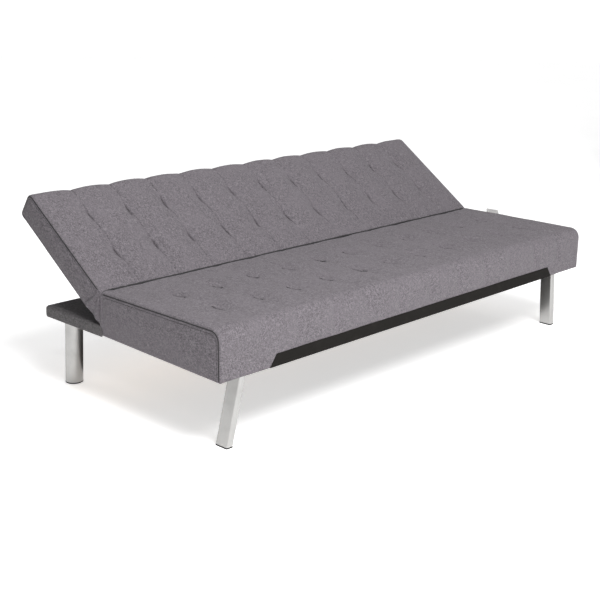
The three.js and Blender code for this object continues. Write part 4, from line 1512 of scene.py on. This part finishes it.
@dataclass
class DustCover:
    """The black lining stapled under the seat frame, cut round the front leg plates."""

    clear: float = 5 * MM
    sag: float = 3.0 * MM
    thick: float = 0.8 * MM
    columns: int = 90
    rows: int = 30
    staple: tuple[float, float, float] = (5 * MM, 0.6 * MM, 0.4 * MM)
    staple_inset: float = 8 * MM

    def build(self) -> list[Piece]:
        """Builds the lining, slightly slack between its staples, and the staples."""
        low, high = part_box("dust_cover")
        plate_low, plate_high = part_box("front_leg_plate_right")
        notch_x, notch_y = plate_low.x - self.clear, plate_high.y + self.clear
        xs = self._steps(low.x, high.x, [-notch_x, notch_x], self.columns)
        ys = self._steps(low.y, high.y, [notch_y], self.rows)
        grid = {}
        points, lines, faces = [], [], []
        for j, y in enumerate(ys):
            for i, x in enumerate(xs):
                across = (x - low.x) / (high.x - low.x)
                along = (y - low.y) / (high.y - low.y)
                slack = math.sin(across * math.pi) ** 0.5 * math.sin(along * math.pi)
                ripple = 0.5 * MM * noise.noise(Vector((x * 14, y * 20, 2)))
                grid[i, j] = len(points)
                points.append((x, y, high.z - 0.5 * MM - self.sag * slack + ripple * slack))
                lines.append((x, y))
        for j in range(len(ys) - 1):
            for i in range(len(xs) - 1):
                x, y = (xs[i] + xs[i + 1]) / 2, (ys[j] + ys[j + 1]) / 2
                if not (abs(x) > notch_x and y < notch_y):
                    faces.append((grid[i, j], grid[i + 1, j], grid[i + 1, j + 1], grid[i, j + 1]))
        made = make_object("dust_lining", np.array(points), faces, np.array(lines))
        shape = bmesh.new()
        shape.from_mesh(made.data)
        bmesh.ops.delete(shape, geom=[v for v in shape.verts if not v.link_faces], context="VERTS")
        shape.to_mesh(made.data)
        shape.free()
        thicken(made, self.thick)
        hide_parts("dust_cover")
        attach(made, "base")
        return [Piece(made, Finish.LINING, "dust_cloth").dress(), self._staples(low, high)]

    @staticmethod
    def _steps(low: float, high: float, marks: Sequence[float], count: int) -> list[float]:
        """Even steps from low to high with extra ones at the marks."""
        even = [v for v in np.linspace(low, high, count) if all(abs(v - m) > 2 * MM for m in marks)]
        return sorted(even + list(marks))

    def _staples(self, low: Vector, high: Vector) -> Piece:
        """Builds the staples along the lining's edges."""
        points, faces = [], []
        spots = [(x, y, True) for y in (low.y + self.staple_inset, high.y - self.staple_inset)
                 for x in np.arange(low.x + 0.15, high.x - 0.14, 0.062)]
        spots += [(x, y, False) for x in (low.x + self.staple_inset, high.x - self.staple_inset)
                  for y in np.arange(low.y + 0.11, high.y - 0.02, 0.058)]
        reach, width, height = self.staple
        base = high.z - 1.5 * MM
        for x, y, lengthways in spots:
            dx, dy = (reach, width) if lengthways else (width, reach)
            start = len(points)
            for z in (base - height, base + height):
                points += [(x - dx, y - dy, z), (x + dx, y - dy, z), (x + dx, y + dy, z), (x - dx, y + dy, z)]
            quads = [(3, 2, 1, 0), (4, 5, 6, 7), (0, 1, 5, 4), (1, 2, 6, 5), (2, 3, 7, 6), (3, 0, 4, 7)]
            faces += [tuple(start + v for v in quad) for quad in quads]
        made = make_object("lining_staples", np.array(points), faces)
        crease_edges(made, 30)
        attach(made, "base")
        return Piece(made, Finish.ZINC, "zinc_steel").dress()


def lofted(name: str, rings: Sequence[np.ndarray], degrees: float = 40) -> bpy.types.Object:
    """A closed solid through rings of equal count, capped at both ends."""
    made = make_object(name, np.concatenate(rings), tube_faces(len(rings), len(rings[0])))
    clean(made, 0.001 * MM)
    crease_edges(made, degrees)
    return made


@dataclass
class FrontLeg:
    """One splayed rectangular tube leg with its foot."""

    side: float
    name: str
    corner: float = 4.5 * MM
    size: tuple[float, float] = (24 * MM, 48 * MM)
    edge: float = 0.5 * MM
    foot_proud: float = 0.5 * MM

    def _ring(self, x: float, y: float, z: float, inset: float, grow: float = 0.0) -> np.ndarray:
        """One level of the tube, scaled in by an inset after it has grown."""
        dx, dy, radius = self.size[0] / 2 + grow, self.size[1] / 2 + grow, self.corner + grow
        corners = [(-dx, -dy, radius), (dx, -dy, radius), (dx, dy, radius), (-dx, dy, radius)]
        loop = rounded_loop(corners, 1.2 * MM) * (1 - inset / (self.size[0] / 2)) + (x, y)
        return np.column_stack([loop, np.full(len(loop), z)])

    def build(self) -> list[Piece]:
        """Builds the tube and the foot pushed on its end."""
        low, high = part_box(f"front_leg_{self.name}")
        foot_low, foot_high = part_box(f"front_foot_{self.name}")
        outer = self.side * (max(abs(low.x), abs(high.x)) - self.size[0] / 2)
        inner = self.side * (min(abs(low.x), abs(high.x)) + self.size[0] / 2)
        rear, front = high.y - self.size[1] / 2, low.y + self.size[1] / 2
        heights = [low.z, low.z + self.edge] + list(np.linspace(low.z + 4 * MM, high.z - 4 * MM, 12))
        heights += [high.z - self.edge, high.z]
        rings = []
        for index, z in enumerate(heights):
            share = (z - low.z) / (high.z - low.z)
            inset = self.edge if index in (0, len(heights) - 1) else 0.0
            x, y = outer * (1 - share) + inner * share, rear * (1 - share) + front * share
            rings.append(self._ring(x, y, z, inset))
        tube_leg = lofted(f"front_leg_tube_{self.name}", rings)
        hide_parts(f"front_leg_{self.name}")
        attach(tube_leg, "base")
        levels = ((foot_low.z, 0.8 * MM), (foot_low.z + 0.8 * MM, 0.0), (foot_high.z - 0.4 * MM, 0.0),
                  (foot_high.z, 0.5 * MM))
        pads = [self._ring(outer, rear, z, inset, self.foot_proud) for z, inset in levels]
        foot = lofted(f"front_foot_cap_{self.name}", pads)
        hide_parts(f"front_foot_{self.name}")
        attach(foot, "base")
        return [Piece(tube_leg, Finish.CHROME, "leg_chrome").dress(),
                Piece(foot, Finish.FOOT, "foot_plastic").dress()]


@dataclass
class RearLeg:
    """One upright round tube leg with its foot."""

    name: str
    sides: int = 96

    def _rings(self, x: float, floor: tuple[float, float], top: tuple[float, float],
               profile: Sequence[tuple[float, float]]) -> list[np.ndarray]:
        """Circles up a leaning turned shape.

        Args:
            x: where its middle is across the sofa.
            floor: (place along y, height) of its middle at the bottom.
            top: the same at the top.
            profile: (radius, height) pairs.

        Returns:
            One ring of points for each pair.
        """
        turn = np.linspace(0, 2 * math.pi, self.sides, endpoint=False)
        rings = []
        for radius, z in profile:
            share = (z - floor[1]) / (top[1] - floor[1])
            y = floor[0] + (top[0] - floor[0]) * share
            rings.append(np.column_stack([x + np.cos(turn) * radius, y + np.sin(turn) * radius,
                                          np.full(self.sides, z)]))
        return rings

    def build(self) -> list[Piece]:
        """Builds the tube and its foot."""
        low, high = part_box(f"rear_leg_{self.name}")
        x = (low.x + high.x) / 2
        radius = (high.x - low.x) / 2
        floor, top = (high.y - radius, low.z), (low.y + radius, high.z)
        levels = [(radius, z) for z in np.linspace(low.z + 1 * MM, high.z - 1.2 * MM, 12)]
        profile = [(radius - 0.7 * MM, low.z), *levels, (radius - 1.1 * MM, high.z)]
        tube_leg = lofted(f"rear_leg_tube_{self.name}", self._rings(x, floor, top, profile))
        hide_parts(f"rear_leg_{self.name}")
        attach(tube_leg, "base")
        foot_low, foot_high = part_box(f"rear_foot_{self.name}")
        shape = [(radius - 1.6 * MM, foot_low.z), (radius - 0.2 * MM, foot_low.z + 0.9 * MM),
                 (radius + 0.2 * MM, foot_high.z - 0.8 * MM), (radius - 0.6 * MM, foot_high.z)]
        foot = lofted(f"rear_foot_cap_{self.name}", self._rings(x, floor, top, shape))
        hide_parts(f"rear_foot_{self.name}")
        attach(foot, "base")
        return [Piece(tube_leg, Finish.CHROME, "leg_chrome").dress(),
                Piece(foot, Finish.FOOT, "foot_plastic").dress()]


@dataclass
class BareFrame:
    """The timber, board and metalwork shown just as the frame has them, edges eased."""

    finishes: tuple[tuple[str, Finish, str, float], ...] = (
        ("base_", Finish.TIMBER, "frame_timber", 1.2 * MM),
        ("seat_slat_", Finish.TIMBER, "frame_timber", 0.9 * MM),
        ("back_", Finish.TIMBER, "frame_timber", 1.2 * MM),
        ("leg_block_", Finish.TIMBER, "frame_timber", 1.0 * MM),
        ("ledge_panel", Finish.BOARD, "ledge_board", 0.3 * MM),
        ("front_leg_plate_", Finish.ZINC, "zinc_steel", 0.5 * MM),
        ("rear_leg_stud_", Finish.ZINC, "zinc_steel", 0.3 * MM),
        ("hinge_pivot_", Finish.ZINC, "zinc_steel", 0.3 * MM),
        ("pawl_pin_", Finish.ZINC, "zinc_steel", 0.2 * MM),
        ("hinge_", Finish.HINGE, "hinge_steel", 0.3 * MM),
        ("pawl_spring_", Finish.SPRING, "spring_steel", 0.15 * MM),
    )

    def build(self) -> None:
        """Gives every CAD node still shown its material and eased edges."""
        shown = 0
        for name, thing in sorted(frame["nodes"].items()):
            if thing.hide_render:
                continue
            row = next(f for f in self.finishes if name.startswith(f[0]))
            thing.data.materials.clear()
            thing.data.materials.append(row[1].material)
            join = thing.modifiers.new("join", "WELD")
            join.merge_threshold = 0.01 * MM
            ease = thing.modifiers.new("ease", "BEVEL")
            ease.width = row[3]
            ease.segments = 2
            ease.limit_method = "ANGLE"
            ease.angle_limit = math.radians(40)
            ease.harden_normals = True
            shown += 1
        log.info("frame nodes shown: %d", shown)


# ---------------------------------------------------------------------------------------------
# Where it stands
# ---------------------------------------------------------------------------------------------


@dataclass
class Studio:
    """Pale floor, soft lights and the camera."""

    place: tuple[float, float, float] = (-2.7306, -2.5265, 1.2631)
    yaw: float = 45.98
    pitch: float = 16.35
    roll: float = 0.69
    lens: float = 67.5
    room: float = 14.0
    floor_glow: float = 0.6
    backdrop_glow: float = 1.1
    world_light: float = 0.5
    front_light: float = 204.0
    unseen: tuple[str, ...] = ("diffuse", "transmission", "shadow")

    def build(self) -> None:
        """Sets up the floor, the lights and the camera."""
        self._floor()
        self._world()
        self._light("front", (-1.1, -2.5, 3.5), (-0.2, 0, 0.3), 1.8, self.front_light)
        self._card("right_card", (4.0, -3.2, 0.0), (4.0, 1.2, 2.4))
        self._card("left_card", (-2.1, -0.2, 0.3), (-1.9, 2.8, 3.0))
        # painted reflection: a dark sheet under the sofa that only the legs reflect
        self._flag("floor_shade_flag", (-0.70, -0.34), (0.74, 0.62))
        self._backdrop()
        self._camera()

    def _floor(self) -> None:
        """Lays the floor."""
        reach = 2 * self.room
        corners = [(-reach, -reach, 0), (reach, -reach, 0), (reach, reach, 0), (-reach, reach, 0)]
        floor = make_object("floor", np.array(corners), [(0, 1, 2, 3)])
        graph = Graph("floor_paint")
        patch = graph.noise(graph.place(), 1.5, 3.0, 0.5)
        colour = graph.blend((0.93, 0.93, 0.93), (0.88, 0.88, 0.88), patch)
        graph.shader.inputs["Emission Strength"].default_value = self.floor_glow
        floor.data.materials.append(graph.finish(Base_Color=colour, Emission_Color=colour, Roughness=0.6))

    def _backdrop(self) -> None:
        """Hangs a plain white sheet of light all round, far from the sofa, seen only directly."""
        turn = np.linspace(0, 2 * math.pi, 48, endpoint=False)
        ring = np.column_stack([np.cos(turn) * self.room, np.sin(turn) * self.room])
        points = [(x, y, z) for z in (-self.room / 2, self.room) for x, y in ring]
        sheet = make_object("backdrop", np.array(points), grid_faces(2, len(ring), closed=True))
        graph = Graph("backdrop_paint")
        patch = graph.noise(graph.place(), 0.5)
        colour = graph.blend((1.0,) * 3, (0.98,) * 3, patch)
        graph.shader.inputs["Emission Strength"].default_value = self.backdrop_glow
        sheet.data.materials.append(graph.finish(Base_Color=(0.0, 0.0, 0.0), Emission_Color=colour))
        for kind in ("glossy", *self.unseen):
            setattr(sheet, f"visible_{kind}", False)

    def _card(self, name: str, low: Sequence[float], high: Sequence[float]) -> None:
        """Stands a dark card out of view, for the metal to reflect."""
        (x0, y0, z0), (x1, y1, z1) = low, high
        corners = [(x0, y0, z0), (x1, y1, z0), (x1, y1, z1), (x0, y0, z1)]
        card = make_object(name, np.array(corners), [(0, 1, 2, 3)])
        card.data.materials.append(self._dark_paint("card_paint", 0.03, 0.05))
        card.visible_camera = False

    def _flag(self, name: str, low: Sequence[float], high: Sequence[float]) -> None:
        """Lays a dark flag on the floor under the sofa, which only the metal sees: a painted reflection of
        shade for the legs.
        """
        (x0, y0), (x1, y1), level = low, high, 2 * MM
        corners = [(x0, y0, level), (x1, y0, level), (x1, y1, level), (x0, y1, level)]
        flag = make_object(name, np.array(corners), [(0, 1, 2, 3)])
        flag.data.materials.append(self._dark_paint("floor_shade_paint", 0.06, 0.09))
        for kind in ("camera", *self.unseen):
            setattr(flag, f"visible_{kind}", False)

    @staticmethod
    def _dark_paint(name: str, dark: float, pale: float) -> bpy.types.Material:
        """A dark matt paint with faint patches between two grey levels."""
        graph = Graph(name)
        patch = graph.noise(graph.place(), 3.0)
        return graph.finish(Base_Color=graph.blend((dark,) * 3, (pale,) * 3, patch), Roughness=0.9)

    def _world(self) -> None:
        """Fills the room with even pale light."""
        world = bpy.data.worlds.new("room")
        world.use_nodes = True
        background = next(n for n in world.node_tree.nodes if n.type == "BACKGROUND")
        background.inputs[0].default_value = (1.0, 1.0, 1.0, 1.0)
        background.inputs[1].default_value = self.world_light
        bpy.context.scene.world = world
        bpy.context.scene.view_settings.view_transform = "Standard"

    def _light(self, name: str, place: Sequence[float], aim: Sequence[float], size: float,
               power: float) -> None:
        """Hangs one square soft light."""
        lamp = bpy.data.lights.new(name, "AREA")
        lamp.size = size
        lamp.energy = power
        thing = bpy.data.objects.new(name, lamp)
        thing.location = place
        thing.rotation_euler = (Vector(aim) - Vector(place)).to_track_quat("-Z", "Y").to_euler()
        bpy.context.scene.collection.objects.link(thing)

    def _camera(self) -> None:
        """Sets up the camera."""
        yaw, pitch, roll = (math.radians(v) for v in (self.yaw, self.pitch, self.roll))
        ahead = Vector((math.sin(yaw) * math.cos(pitch), math.cos(yaw) * math.cos(pitch), -math.sin(pitch)))
        right = Vector((math.cos(yaw), -math.sin(yaw), 0))
        up = right.cross(ahead)
        level = right * math.cos(roll) + up * math.sin(roll)
        above = up * math.cos(roll) - right * math.sin(roll)
        data = bpy.data.cameras.new("camera")
        data.lens = self.lens
        data.sensor_width = 36
        thing = bpy.data.objects.new("camera", data)
        basis = Matrix((level, above, -ahead)).transposed()
        thing.matrix_world = Matrix.Translation(self.place) @ basis.to_4x4()
        bpy.context.scene.collection.objects.link(thing)
        bpy.context.scene.camera = thing


def main() -> None:
    """Builds the sofa in order."""
    logging.basicConfig(level=logging.INFO, format="%(name)s: %(message)s")
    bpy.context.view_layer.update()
    layout = Layout()
    SeatCushion(layout).build()
    BackCushion(layout).build()
    for name, side in SIDES:
        EndGusset(layout, side, f"end_gusset_{name}").build()
        FrontLeg(side, name).build()
        RearLeg(name).build()
    Ledge().build()
    FrontStrip().build()
    CareLabel().build()
    DustCover().build()
    BareFrame().build()
    Studio().build()


if __name__ == "__main__":
    main()
